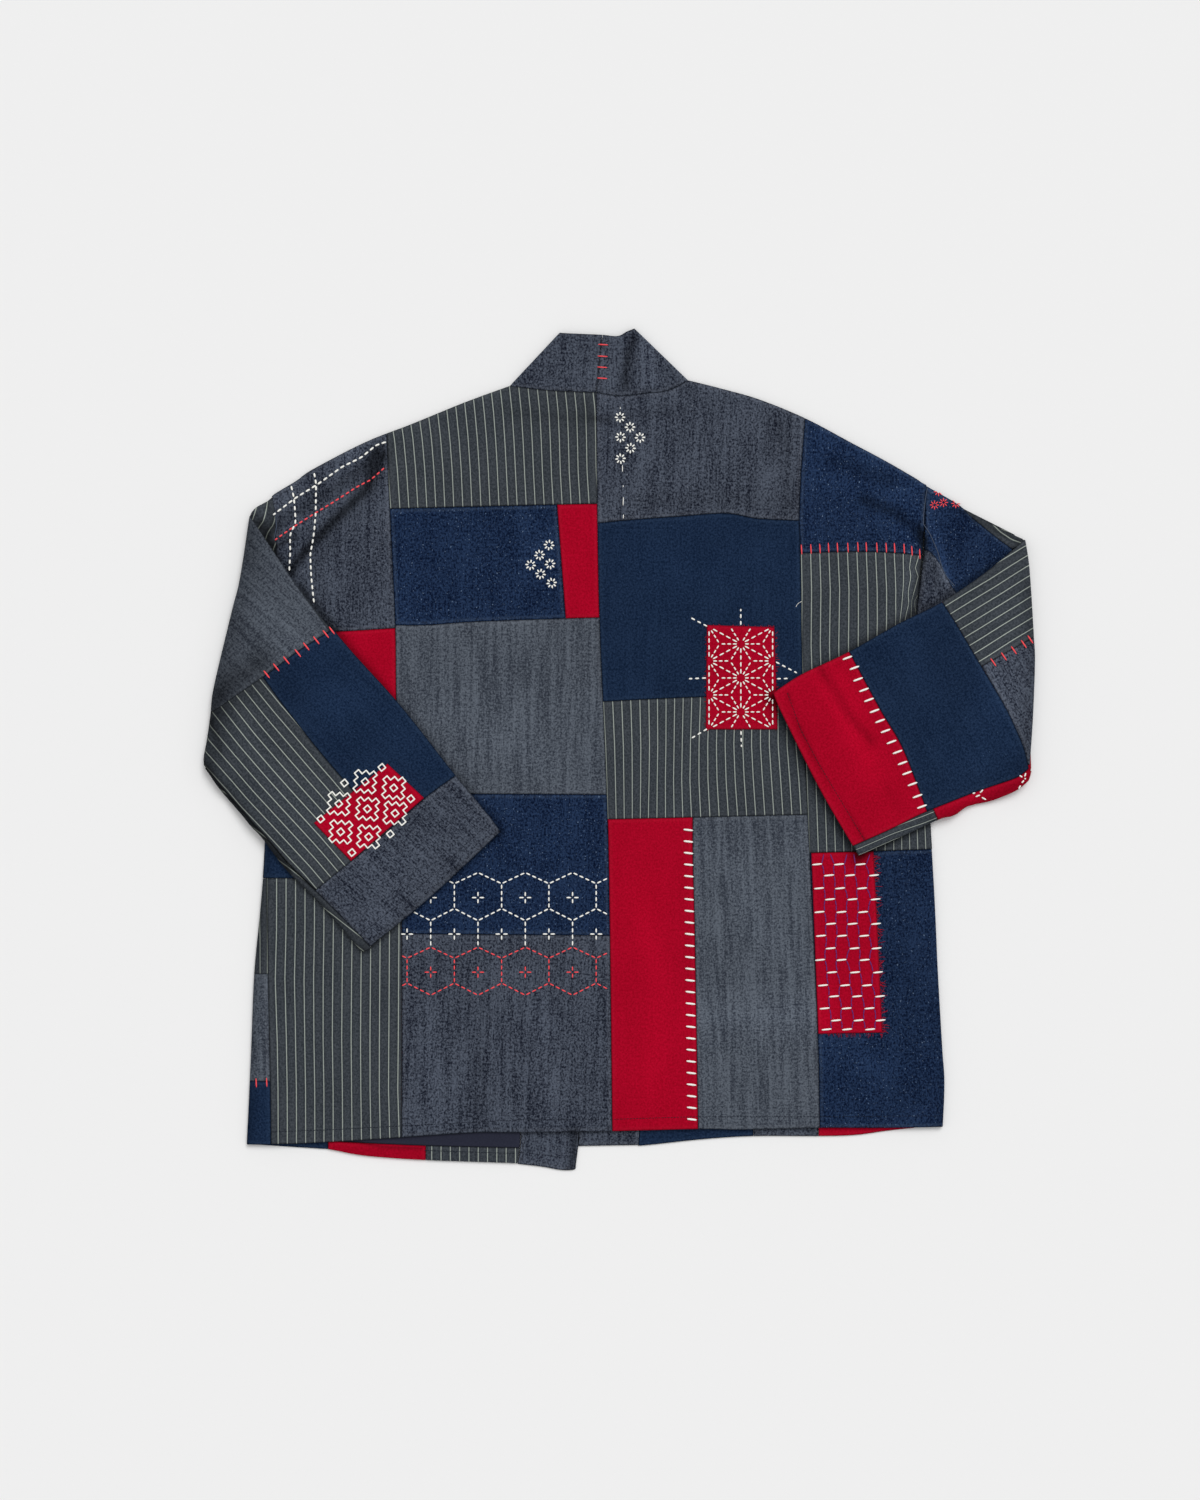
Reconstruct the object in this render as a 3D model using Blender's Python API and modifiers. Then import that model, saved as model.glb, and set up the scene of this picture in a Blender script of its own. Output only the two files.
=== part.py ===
"""Patched boro jacket, laid flat on its front with both sleeves folded over the back.

Every piece of cloth that is cut and sewn on is one closed wall. +Z is up, the jacket lies on
z = 0, +Y points to the collar and the origin is the middle of the footprint. Plan points are in
millimetres and are scaled to metres when a mesh is made.
"""

import bmesh
import bpy
import numpy as np

MM = 0.001

# Cloth
WALL = 1.2  # thickness of a wall of cloth
PATCH_WALL = 0.9  # thickness of a patch that is sewn on
SEAM = 0.3  # gap between two pieces where they are sewn together
HIDDEN_SEAM = 0.9  # the same below, where two curved edges have unlike faces
AIR = 0.4  # gap between two layers that lie on each other
PITCH = WALL + AIR  # from the middle of a layer to the middle of the next
FLOOR_LAYER = WALL / 2  # middle height of the fronts, which lie on the ground
BACK_LAYER = FLOOR_LAYER + PITCH
TURN_UP_LAYER = FLOOR_LAYER + WALL + SEAM
PLUMP = 1.9  # how far the back stands off the fronts
SLEEVE_PLUMP = 1.4
SLEEVE_AIR = 0.5  # further room between the back and a sleeve that lies on it
CUFF_LIFTS = ((148, 42), (222, -92))  # where the right cuff rides up on a patch
CUFF_LIFT = 1.6
CUFF_LIFT_WIDTH = 34.0
ROLL = 9.0  # width over which the back curves down at a side or shoulder
ROLL_ROWS = (0.11, 0.39, 1.0)  # where its rows of points lie, as shares of that width
STEP = 25.0  # size of a face on the back and sleeves
FLAT_STEP = 90.0  # size of a face on the fronts
BEND_STEPS = 6

# Long seams of the back, from the top down
CENTRE_BACK = [(-22, 335), (-21, 227), (-19, 122), (-15, 28), (-12, -46), (-10, -121), (-7, -360)]
COLUMN_LEFT = [(-215, 300), (-212, 223), (-207, 115), (-206, 46), (-203, -46), (-201, -170), (-201, -370)]
COLUMN_RIGHT = [(171, 312), (167, 261), (165, 212), (166, 181), (169, 28), (173, -60), (182, -261),
                (184, -360)]

# Outline of the body
NECK_LEFT = [(-102, 335), (-65, 331), (-22, 329)]
NECK_RIGHT = [(62, 338), (44, 329), (19, 326), (0, 324), (-22, 329)]
SHOULDER_LEFT = [(-95, 338), (-102, 335), (-143, 320), (-192, 300), (-233, 284), (-282, 258), (-321, 233),
                 (-330, 227)]
SHOULDER_RIGHT = [(55, 340), (62, 338), (94, 330), (129, 320), (171, 303), (213, 281), (246, 264), (282, 244),
                  (290, 240)]
SIDE_LEFT = [(-322, 240), (-320, 231), (-317, 205), (-318, 138), (-322, 64), (-326, 26), (-327, -83),
             (-331, -143), (-337, -206), (-340, -280), (-344, -366)]
SIDE_RIGHT = [(283, 250), (282, 240), (280, 205), (278, 177), (274, 140), (272, 110), (275, 60), (282, 27),
              (283, -9), (286, -68), (290, -139), (293, -205), (297, -275), (299, -308), (297, -356)]
SIDE_SEAM_LEFT = [(-322, -108), (-325, -118), (-324, -205), (-322, -305), (-321, -372)]
SIDE_SEAM_RIGHT = [(280, -80), (271, -360)]
BACK_HEM = [(-350, -364), (-321, -363), (-290, -362), (-236, -359), (-165, -354), (-128, -352), (-90, -352),
            (-7, -351), (72, -349), (112, -349.5), (183, -348), (247, -348), (297, -347), (306, -347)]

# Seams across the back
YOKE_LEFT_HEM = [(-222, 222), (-58, 226), (-10, 227)]
INDIGO_LEFT_HEM = [(-220, 115), (-178, 115), (-135, 118), (-50, 121), (-10, 122)]
RED_LEFT_SEAM = [(-59, 235), (-58, 226), (-50, 121), (-49, 110)]
CHAMBRAY_LEFT_HEM = [(-220, -40), (-5, -41)]
INDIGO_LOW_HEM = [(-220, -169), (-3, -171)]
YOKE_RIGHT_HEM = [(-35, 208), (-21, 209), (10, 212), (52, 215), (97, 218), (128, 213), (175, 211)]
NAVY_HEM = [(-25, 44), (55, 48), (180, 52)]
STRIPE_HEM = [(-22, -64), (66, -62), (185, -59)]
RED_LONG_SEAM = [(67, -52), (67, -100), (69, -174), (72, -358)]
SIDE_LEFT_SEAMS = (
    [(-340, 107), (-262, 109), (-195, 113)],
    [(-345, 14), (-195, 14)],
    [(-345, -118), (-190, -118)],
)
SIDE_RIGHT_SEAMS = (
    [(155, 180.5), (200, 182.5), (245, 182), (290, 178)],
    [(165, -95), (235, -93), (300, -91)],
)

# Fronts, which lie under the back
BAND_LEFT_SEAM = [(-102.5, 345), (-102, 335), (-100, 138), (-97, -230), (-94, -395)]
BAND_LEFT_EDGE = [(-56, 383), (-55, 138), (-43, -230), (-39, -351), (-42, -395)]
BAND_RIGHT_SEAM = [(63, 350), (62, 338), (48, 138), (26, -230), (16, -375)]
BAND_RIGHT_EDGE = [(13, 386), (0, 138), (-25, -230), (-35, -375)]
FRONT_LEFT_HEM = [(-350, -364), (-321, -363.5), (-292, -367), (-269, -368), (-235, -374), (-179, -378),
                  (-94, -381), (-79, -383), (-59, -386), (-30, -386.5)]
TURN_UP_LEFT = [(-350, -352), (-268, -360), (-182, -364.5), (-80, -367)]
FRONT_RIGHT_HEM = [(-50, -364), (-17, -365), (19, -363), (75, -359), (123, -356), (183, -356), (217, -355),
                   (247, -351), (285, -347)]
FRONT_SPLIT = -118  # below this line the fronts are pieced in columns
FRONT_LEFT_COLUMNS = (-269, -179)
FRONT_RIGHT_COLUMNS = (123, 183)
SIDE_STRIP_SEAMS = (-206, -305)
STRIP_START = 2  # the side strips begin this far below their seams
LINING_TOP = -335
LINING_LEFT = -262

# Collar, whose ends turn under to run down the fronts as the bands
COLLAR_TOP = [(-56, 383), (-24, 381.5), (-2, 380), (6, 384), (13, 386)]
COLLAR_CENTRE = [(-22, 329), (-16, 381)]

# Left sleeve
FOLD_LEFT_SEAM = (-376, 34)  # where the seam below the upper piece meets the fold
FOLD_LEFT = [(-341, 216), (-349, 157), (-357, 125), (-373, 58), FOLD_LEFT_SEAM, (-379, 11), (-382, -12)]
SLEEVE_LEFT_TOP = [(-341, 216), (-322, 188), (-282, 134), (-248, 92), (-202, 41), (-154, -20), (-118, -64),
                   (-108, -80)]
SLEEVE_LEFT_OUTLINE = [(-382, -12), (-378, -24), (-346, -62), (-306, -111), (-276, -141), (-237, -186)]
SLEEVE_LEFT_UNDERARM = [(-382, -12), (-372, -24), (-342, -59), (-303, -107), (-272, -137), (-228, -182),
                        (-220, -190)]
CHAMBRAY_SEAM = [(-262, 112), (-294, 92), (-328, 67), FOLD_LEFT_SEAM]
SLEEVE_LEFT_INNER_SEAM = [(-332, 73), (-328, 67), (-311, 43), (-269, -10), (-213, -74), (-205, -83)]
CUFF_LEFT_SEAM = [(-146, -20), (-179, -44), (-213, -74), (-247, -102), (-290, -137)]
CUFF_LEFT_EDGE = [(-104, -70), (-111, -76), (-173, -134), (-230, -181), (-245, -193)]
UNDERARM_LEFT = (-326, 26)

# Right sleeve
FOLD_RIGHT_SEAM = (381, 104)
FOLD_RIGHT = [(373, 194), (377, 166), FOLD_RIGHT_SEAM, (382, 80), (380, 28), (377, -15)]
SLEEVE_RIGHT_TOP = [(373, 194), (336, 163), (296, 136), (256, 116), (210, 90), (168, 70), (143, 54),
                    (134, 48)]
SLEEVE_RIGHT_UNDERARM = [(384, -14), (371, -20), (333, -37), (283, -56), (248, -73), (214, -88), (204, -92)]
SLEEVE_RIGHT_OUTLINE = [(385, -24), (373, -31), (337, -47), (293, -64), (258, -80), (217, -98), (207, -102)]
STRIPE_SEAM = [FOLD_RIGHT_SEAM, (332, 77), (322, 71)]
NAVY_OUTER_SEAM = [(291, 144), (313, 109), (332, 77), (350, 40), (363, 4), (371, -24), (373, -34)]
CUFF_RIGHT_SEAM = [(208, 95), (238, 39), (258, 5), (273, -32), (287, -70)]
CUFF_RIGHT_EDGE = [(140, 62), (142, 48), (154, 22), (185, -39), (217, -94), (222, -104)]
UNDER_RIGHT_SPLIT = [(206, 100), (298, -75)]
SHOULDER_SLEEVE = [(276, 247), (282, 244), (312, 227), (344, 208), (380, 189)]
STANDING_TOP = [(282, 243), (312, 227), (324, 216), (346, 196), (361, 185)]
RIDGE = [(276, 186), (286, 182), (294, 172), (302, 156), (318, 130), (345, 80), (368, 0), (372, -12)]
UNDERARM_RIGHT = (282, 27)

# Patches that are sewn on, by their four corners from the lower left, anticlockwise
STAR_PATCH = [(79, 19), (145, 19), (142, 113), (80, 115)]
BRICK_PATCH = [(183, -261), (243, -260), (235, -94.5), (177, -96)]
FLOWER_PATCH = [(-247, -102), (-180, -44), (-218, -12), (-281, -67)]

# Folds that stand up (or sink in) on the back: route, height, half width
BACK_FOLDS = [
    ([(-242, 268), (-262, 238), (-290, 218), (-306, 208)], 2.2, 15),
    ([(-224, 272), (-226, 246), (-247, 220), (-270, 203), (-296, 182)], -1.2, 9),
    ([(193, 267), (240, 236), (272, 206)], 1.6, 24),
    ([(262, 150), (268, 175), (262, 200)], 1.2, 10),
    ([(74, -248), (178, -246)], 1.0, 24),
    ([(-90, 310), (0, 300)], -0.6, 18),
]
SLEEVE_FOLDS = [
    ([(-352, 150), (-300, 90), (-262, 40)], 1.2, 22),
    ([(-300, -40), (-230, -100)], 0.8, 24),
    ([(200, 60), (228, -20)], 0.9, 16),
    ([(352, 130), (345, 60), (330, -10)], 1.1, 22),
]

CLOTHS = {  # colour, roughness
    "stripe": ((0.050, 0.054, 0.060), 0.9),
    "indigo": ((0.016, 0.034, 0.095), 0.9),
    "navy": ((0.012, 0.030, 0.078), 0.9),
    "denim": ((0.062, 0.073, 0.100), 0.9),
    "chambray": ((0.108, 0.123, 0.150), 0.9),
    "red": ((0.400, 0.003, 0.012), 0.85),
    "lining": ((0.024, 0.026, 0.050), 0.8),
}


def clear_scene():
    for item in list(bpy.data.objects):
        bpy.data.objects.remove(item)


def smooth(points, steps=8):
    """A dense polyline on a spline through the points. An array is a polyline already."""
    p = np.array(points, float)
    if isinstance(points, np.ndarray) or len(p) == 2:
        return p
    before = np.vstack([2 * p[0] - p[1], p[:-1]])
    after = np.vstack([p[1:], 2 * p[-1] - p[-2]])
    slope = (after - before) / 2
    t = np.linspace(0, 1, steps, endpoint=False)[:, None]
    weights = 2 * t**3 - 3 * t**2 + 1, t**3 - 2 * t**2 + t, 3 * t**2 - 2 * t**3, t**3 - t**2
    pieces = [
        sum(weight * value for weight, value in zip(weights, ends))
        for ends in zip(p[:-1], slope[:-1], p[1:], slope[1:])
    ]
    return np.vstack(pieces + [p[-1:]])


def lengths(line):
    return np.concatenate([[0], np.cumsum(np.linalg.norm(np.diff(line, axis=0), axis=1))])


def at_length(line, distance):
    """Points of a polyline at these distances from its start."""
    total = lengths(line)
    return np.stack([np.interp(distance, total, line[:, k]) for k in range(2)], -1)


def crossing(a, b):
    """How far along each polyline the two cross."""
    p, r = a[:-1, None], np.diff(a, axis=0)[:, None]
    q, s = b[None, :-1], np.diff(b, axis=0)[None]
    turn = r[..., 0] * s[..., 1] - r[..., 1] * s[..., 0]
    turn = np.where(turn == 0, 1e-9, turn)
    gap = q - p
    t = (gap[..., 0] * s[..., 1] - gap[..., 1] * s[..., 0]) / turn
    w = (gap[..., 0] * r[..., 1] - gap[..., 1] * r[..., 0]) / turn
    i, j = np.argwhere((t >= 0) & (t <= 1) & (w >= 0) & (w <= 1))[0]
    step_a = np.linalg.norm(r[i, 0])
    step_b = np.linalg.norm(s[0, j])
    return lengths(a)[i] + t[i, j] * step_a, lengths(b)[j] + w[i, j] * step_b


def distance_to(line, xy):
    """Distance from each point to a polyline."""
    best = np.full(xy.shape[:-1], np.inf)
    for a, b in zip(line[:-1], line[1:]):
        along = b - a
        t = np.clip(((xy - a) @ along) / max(along @ along, 1e-9), 0, 1)
        best = np.minimum(best, np.linalg.norm(xy - a - t[..., None] * along, axis=-1))
    return best


def signed_side(a, b, xy):
    """Distance to the left of the line from a to b."""
    a, b = np.array(a, float), np.array(b, float)
    along = (b - a) / np.linalg.norm(b - a)
    gap = xy - a
    return along[0] * gap[..., 1] - along[1] * gap[..., 0]


def ease(t):
    t = np.clip(t, 0, 1)
    return t * t * (3 - 2 * t)


def folds(routes, xy):
    """Sum of the soft ridges and troughs at these points."""
    return sum(tall * np.exp(-((distance_to(smooth(route), xy) / wide) ** 2)) for route, tall, wide in routes)


def plump(xy):
    """How far the back and the standing parts of the sleeves are lifted, with their folds."""
    x, y = xy[..., 0], xy[..., 1]
    waves = 0.25 * np.sin(x / 61 + y / 97 + 0.6) + 0.2 * np.sin(y / 53 - x / 118)
    return PLUMP + waves + folds(BACK_FOLDS, xy)


ROLLED_EDGES = [
    smooth(line)
    for line in (SHOULDER_LEFT, SHOULDER_RIGHT, SHOULDER_SLEEVE, SIDE_LEFT[5:], SIDE_RIGHT[7:])
]


def roll(distance, width=ROLL):
    """0 at an edge, 1 once the cloth is level, on a quarter ellipse."""
    near = np.clip(distance / width, 0, 1)
    return np.sqrt(1 - (1 - near) ** 2)


def back_height(xy):
    edge = np.min([distance_to(line, xy) for line in ROLLED_EDGES], axis=0)
    return BACK_LAYER + roll(edge) * plump(xy)


def wrapped_height(xy):
    """The back where it is carried round a side and doesn't curve down by itself."""
    return BACK_LAYER + plump(xy)


def floor_height(xy):
    return np.full(xy.shape[:-1], FLOOR_LAYER)


def turn_up_height(xy):
    return np.full(xy.shape[:-1], TURN_UP_LAYER)


def outside_left(xy):
    """How far a point of the left sleeve lies beyond the body and the standing part of the sleeve."""
    return np.minimum(UNDERARM_LEFT[0] - xy[..., 0], -signed_side(FOLD_LEFT[-1], UNDERARM_LEFT, xy))


def outside_right(xy):
    return np.minimum(xy[..., 0] - UNDERARM_RIGHT[0], -signed_side(UNDERARM_RIGHT, FOLD_RIGHT[-1], xy))


def under_height(xy):
    """The lower wall of a folded sleeve, which drops to the ground past the body."""
    beyond = np.where(xy[..., 0] < 0, outside_left(xy), outside_right(xy))
    drop = ease((beyond - 14) / 42)
    lift = sum(CUFF_LIFT * np.exp(-(((xy - place) / CUFF_LIFT_WIDTH) ** 2).sum(-1)) for place in CUFF_LIFTS)
    level = BACK_LAYER + PITCH + SLEEVE_AIR + plump(xy) + lift
    return level + (FLOOR_LAYER - level) * drop


SLEEVE_EDGES = [smooth(SLEEVE_LEFT_TOP), smooth(SLEEVE_RIGHT_TOP)]


def over_height(xy):
    """The upper wall of a folded sleeve."""
    edge = np.min([distance_to(line, xy) for line in SLEEVE_EDGES], axis=0)
    return under_height(xy) + PITCH + roll(edge) * (SLEEVE_PLUMP + folds(SLEEVE_FOLDS, xy))


def fractions(length, step, fine_start=False, fine_end=False):
    """Places along an edge, closer together where the cloth curves down."""
    count = max(2, int(round(length / step)))
    t = list(np.linspace(0, 1, count + 1))
    rows = [share * ROLL / length for share in ROLL_ROWS]
    clear = 1.6 * ROLL / length
    if fine_start:
        t = [0] + rows + [v for v in t if v > clear]
    if fine_end:
        t = [v for v in t if v < 1 - clear] + [1 - v for v in reversed(rows)] + [1]
    return np.array(t)


def patch(low, high, left, right, u, v):
    """Plan points of a piece with four curved sides; the sides run left to right and low to high."""
    uu, vv = u[:, None, None], v[None, :, None]
    left = left + (1 - vv[0]) * (low[0] - left[0]) + vv[0] * (high[0] - left[-1])
    right = right + (1 - vv[0]) * (low[-1] - right[0]) + vv[0] * (high[-1] - right[-1])
    across = (1 - vv) * low[:, None] + vv * high[:, None]
    up = (1 - uu) * left[None] + uu * right[None]
    corners = (1 - vv) * ((1 - uu) * low[0] + uu * low[-1]) + vv * ((1 - uu) * high[0] + uu * high[-1])
    return across + up - corners


def inset(xy, sides="lrbt", gap=SEAM):
    """The same plan points with the outer rows drawn in by half of a seam gap."""
    out = xy.copy()
    for side, outer, inner in (
        ("l", np.s_[0], np.s_[1]), ("r", np.s_[-1], np.s_[-2]),
        ("b", np.s_[:, 0], np.s_[:, 1]), ("t", np.s_[:, -1], np.s_[:, -2]),
    ):
        if side in sides:
            way = xy[inner] - xy[outer]
            out[outer] += way / np.linalg.norm(way, axis=-1, keepdims=True) * gap / 2
    return out


def pinned(t, line, start, end, corner):
    """The places t along a stretch of a line, with the one nearest to a corner moved onto it."""
    if corner is None:
        return t
    there = (place_on(line, corner) - start) / (end - start)
    nearest = 1 + int(np.argmin(np.abs(t[1:-1] - there)))
    return np.concatenate([t[:nearest], [there], t[nearest + 1:]])


def framed(low, high, left, right, step, fine="", corner=None):
    """Plan points between four long seams that cross at the corners of the piece.

    step is the size of a face, or one size across and one up. corner is a bend in the high side.
    """
    low, high, left, right = (smooth(side) for side in (low, high, left, right))
    step_u, step_v = step if isinstance(step, tuple) else (step, step)
    a_low, a_left = crossing(low, left)
    b_low, b_right = crossing(low, right)
    a_high, b_left = crossing(high, left)
    b_high, c_right = crossing(high, right)
    u = fractions(abs(b_low - a_low), step_u, "l" in fine, "r" in fine)
    u = pinned(u, high, a_high, b_high, corner)
    v = fractions(abs(b_left - a_left), step_v, "b" in fine, "t" in fine)
    return patch(
        at_length(low, a_low + u * (b_low - a_low)),
        at_length(high, a_high + u * (b_high - a_high)),
        at_length(left, a_left + v * (b_left - a_left)),
        at_length(right, b_right + v * (c_right - b_right)),
        u, v,
    )


def four_sided(low, high, left, right, step, fine="", along=None, corner=None):
    """Plan points between four sides that already end at the corners. corner is a bend in the left side."""
    low, high, left, right = (smooth(side) for side in (low, high, left, right))
    if along is None:
        along = fractions(max(lengths(low)[-1], lengths(high)[-1]), step, "l" in fine, "r" in fine)
    v = fractions(max(lengths(left)[-1], lengths(right)[-1]), step, "b" in fine, "t" in fine)
    v = pinned(v, left, 0, lengths(left)[-1], corner)
    return patch(
        at_length(low, along * lengths(low)[-1]), at_length(high, along * lengths(high)[-1]),
        at_length(left, v * lengths(left)[-1]), at_length(right, v * lengths(right)[-1]), along, v,
    )


def place_on(line, target):
    """Distance along a polyline of its point nearest to the target."""
    step = np.diff(line, axis=0)
    t = np.clip(((target - line[:-1]) * step).sum(1) / np.maximum((step**2).sum(1), 1e-9), 0, 1)
    gap = np.linalg.norm(line[:-1] + t[:, None] * step - target, axis=1)
    best = int(np.argmin(gap))
    return lengths(line)[best] + t[best] * np.linalg.norm(step[best])


def cut(line, start, end):
    """The stretch of a line between the points nearest to start and end."""
    dense = smooth(line)
    first, last = place_on(dense, start), place_on(dense, end)
    total = lengths(dense)
    margin = 0.5
    inside = dense[(total > min(first, last) + margin) & (total < max(first, last) - margin)]
    if first > last:
        inside = inside[::-1]
    ends = at_length(dense, np.array([first, last]))
    return np.vstack([ends[:1], inside, ends[1:]])


def material(cloth):
    found = bpy.data.materials.get(cloth)
    if found:
        return found
    colour, rough = CLOTHS[cloth]
    made = bpy.data.materials.new(cloth)
    made.use_nodes = True
    shader = made.node_tree.nodes["Principled BSDF"]
    shader.inputs["Base Color"].default_value = (*colour, 1)
    shader.inputs["Roughness"].default_value = rough
    shader.inputs["Metallic"].default_value = 0
    return made


def cloth(name, kind, xy, z, wall=WALL):
    """One wall of cloth whose middle runs through a grid of points."""
    across, up = xy.shape[:2]
    points = np.concatenate([xy, z[..., None]], -1) * MM
    grid = bmesh.new()
    bmesh.ops.create_grid(grid, x_segments=across - 1, y_segments=up - 1, size=1)
    grid.verts.ensure_lookup_table()
    for vertex, place in zip(grid.verts, points.transpose(1, 0, 2).reshape(-1, 3)):
        vertex.co = place
    mesh = bpy.data.meshes.new(name)
    grid.to_mesh(mesh)
    grid.free()
    mesh.shade_smooth()
    piece = bpy.data.objects.new(name, mesh)
    JACKET.objects.link(piece)
    mesh.materials.append(material(kind))
    shell = piece.modifiers.new("wall", "SOLIDIFY")
    shell.thickness = wall * MM
    shell.offset = 0
    shell.use_even_offset = True
    return piece


def folded(name, kind, under, over, low, high):
    """A wall that runs along a lower layer to a fold and back over an upper layer.

    under and over are plan points whose first row (v = 0) is the outline at the fold.
    """
    run = np.gradient(over[:, 0], axis=0)
    run /= np.linalg.norm(run, axis=-1, keepdims=True)
    inward = over[:, 1] - over[:, 0]
    inward /= np.linalg.norm(inward - (inward * run).sum(-1, keepdims=True) * run, axis=-1, keepdims=True)
    z_low, z_high = low(under[:, 0]), high(over[:, 0])
    bend = (z_high - z_low) / 2
    reach = bend + WALL / 2
    centre = over[:, 0] + inward * reach[:, None]
    angle = np.linspace(0, np.pi, BEND_STEPS + 1)[1:-1]
    turn_xy = centre[:, None] - inward[:, None] * (bend[:, None] * np.sin(angle))[..., None]
    turn_z = z_low[:, None] + bend[:, None] * (1 - np.cos(angle))
    under, over = under.copy(), over.copy()
    under[:, 0] = over[:, 0] = centre
    xy = np.concatenate([under[:, ::-1], turn_xy, over], 1)
    z = np.concatenate([low(under)[:, ::-1], turn_z, high(over)], 1)
    z[:, under.shape[1] - 1] = z_low
    z[:, under.shape[1] + len(angle)] = z_high
    return cloth(name, kind, xy, z)


def make_back():
    """Eighteen blocks of the back and its sides."""
    shoulder_left = cut(SHOULDER_LEFT, (-240, 281), NECK_LEFT[0])
    shoulder_right = cut(SHOULDER_RIGHT, NECK_RIGHT[0], (190, 293))
    yoke_left_top = np.vstack([shoulder_left, smooth(NECK_LEFT)[1:], [(-12, 327)]])
    yoke_right_top = np.vstack([[(-32, 330)], smooth(NECK_RIGHT)[::-1], shoulder_right[1:]])
    top_left, mid_left, low_left = SIDE_LEFT_SEAMS
    top_right, low_right = SIDE_RIGHT_SEAMS
    blocks = [
        ("back_yoke_left", "stripe", YOKE_LEFT_HEM, yoke_left_top, COLUMN_LEFT, CENTRE_BACK, "t"),
        ("back_left_indigo", "indigo", INDIGO_LEFT_HEM, YOKE_LEFT_HEM, COLUMN_LEFT, RED_LEFT_SEAM, ""),
        ("back_left_red", "red", INDIGO_LEFT_HEM, YOKE_LEFT_HEM, RED_LEFT_SEAM, CENTRE_BACK, ""),
        ("back_left_chambray", "chambray", CHAMBRAY_LEFT_HEM, INDIGO_LEFT_HEM, COLUMN_LEFT, CENTRE_BACK, ""),
        ("back_left_indigo_low", "indigo", INDIGO_LOW_HEM, CHAMBRAY_LEFT_HEM, COLUMN_LEFT, CENTRE_BACK, ""),
        ("back_left_denim", "denim", BACK_HEM, INDIGO_LOW_HEM, COLUMN_LEFT, CENTRE_BACK, ""),
        ("back_yoke_right", "denim", YOKE_RIGHT_HEM, yoke_right_top, CENTRE_BACK, COLUMN_RIGHT, "t"),
        ("back_right_navy", "navy", NAVY_HEM, YOKE_RIGHT_HEM, CENTRE_BACK, COLUMN_RIGHT, ""),
        ("back_right_stripe", "stripe", STRIPE_HEM, NAVY_HEM, CENTRE_BACK, COLUMN_RIGHT, ""),
        ("back_right_red", "red", BACK_HEM, STRIPE_HEM, CENTRE_BACK, RED_LONG_SEAM, ""),
        ("back_right_chambray", "chambray", BACK_HEM, STRIPE_HEM, RED_LONG_SEAM, COLUMN_RIGHT, ""),
        ("side_left_denim", "denim", top_left, SHOULDER_LEFT, SIDE_LEFT, COLUMN_LEFT, "t"),
        ("side_left_red", "red", mid_left, top_left, SIDE_LEFT, COLUMN_LEFT, ""),
        ("side_left_navy", "navy", low_left, mid_left, SIDE_LEFT, COLUMN_LEFT, "l"),
        ("side_left_stripe", "stripe", BACK_HEM, low_left, SIDE_SEAM_LEFT, COLUMN_LEFT, ""),
        ("side_right_indigo", "indigo", top_right, SHOULDER_RIGHT, COLUMN_RIGHT, SIDE_RIGHT, "t"),
        ("side_right_stripe", "stripe", low_right, top_right, COLUMN_RIGHT, SIDE_RIGHT, "r"),
    ]
    corners = {"back_yoke_left": NECK_LEFT[0], "back_yoke_right": NECK_RIGHT[0]}
    for name, kind, low, high, left, right, fine in blocks:
        xy = inset(framed(low, high, left, right, STEP, fine, corners.get(name)))
        height = wrapped_height if name == "side_left_stripe" else back_height
        cloth(name, kind, xy, height(xy))


def wrap(name, kind, fold, under, over, low, high, along=None, corner=None):
    """A folded piece from its fold line and the far, first and last side of each of its layers."""
    u = fractions(lengths(smooth(fold))[-1], STEP) if along is None else along
    under = inset(four_sided(fold, *under, FLAT_STEP if low is floor_height else STEP, along=u), "lrt")
    over = inset(four_sided(fold, *over, STEP, along=u, corner=corner), "lrt")
    folded(name, kind, under, over, low, high)


def make_side_right_low():
    """The lower right block goes round the side to a seam below."""
    top, hem = (287.3, -91.3), (297, -347)
    column_top, column_hem = (177, -95), (184, -348)
    seam_top, seam_hem = (280, -91), (271, -347)
    under = (cut(SIDE_SEAM_RIGHT, seam_top, seam_hem), [top, seam_top], [hem, seam_hem])
    over = (
        cut(COLUMN_RIGHT, column_top, column_hem),
        cut(SIDE_RIGHT_SEAMS[1], top, column_top),
        cut(BACK_HEM, hem, column_hem),
    )
    fold = cut(SIDE_RIGHT, top, hem)
    wrap("side_right_indigo_low", "indigo", fold, under, over, floor_height, wrapped_height)


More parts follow.
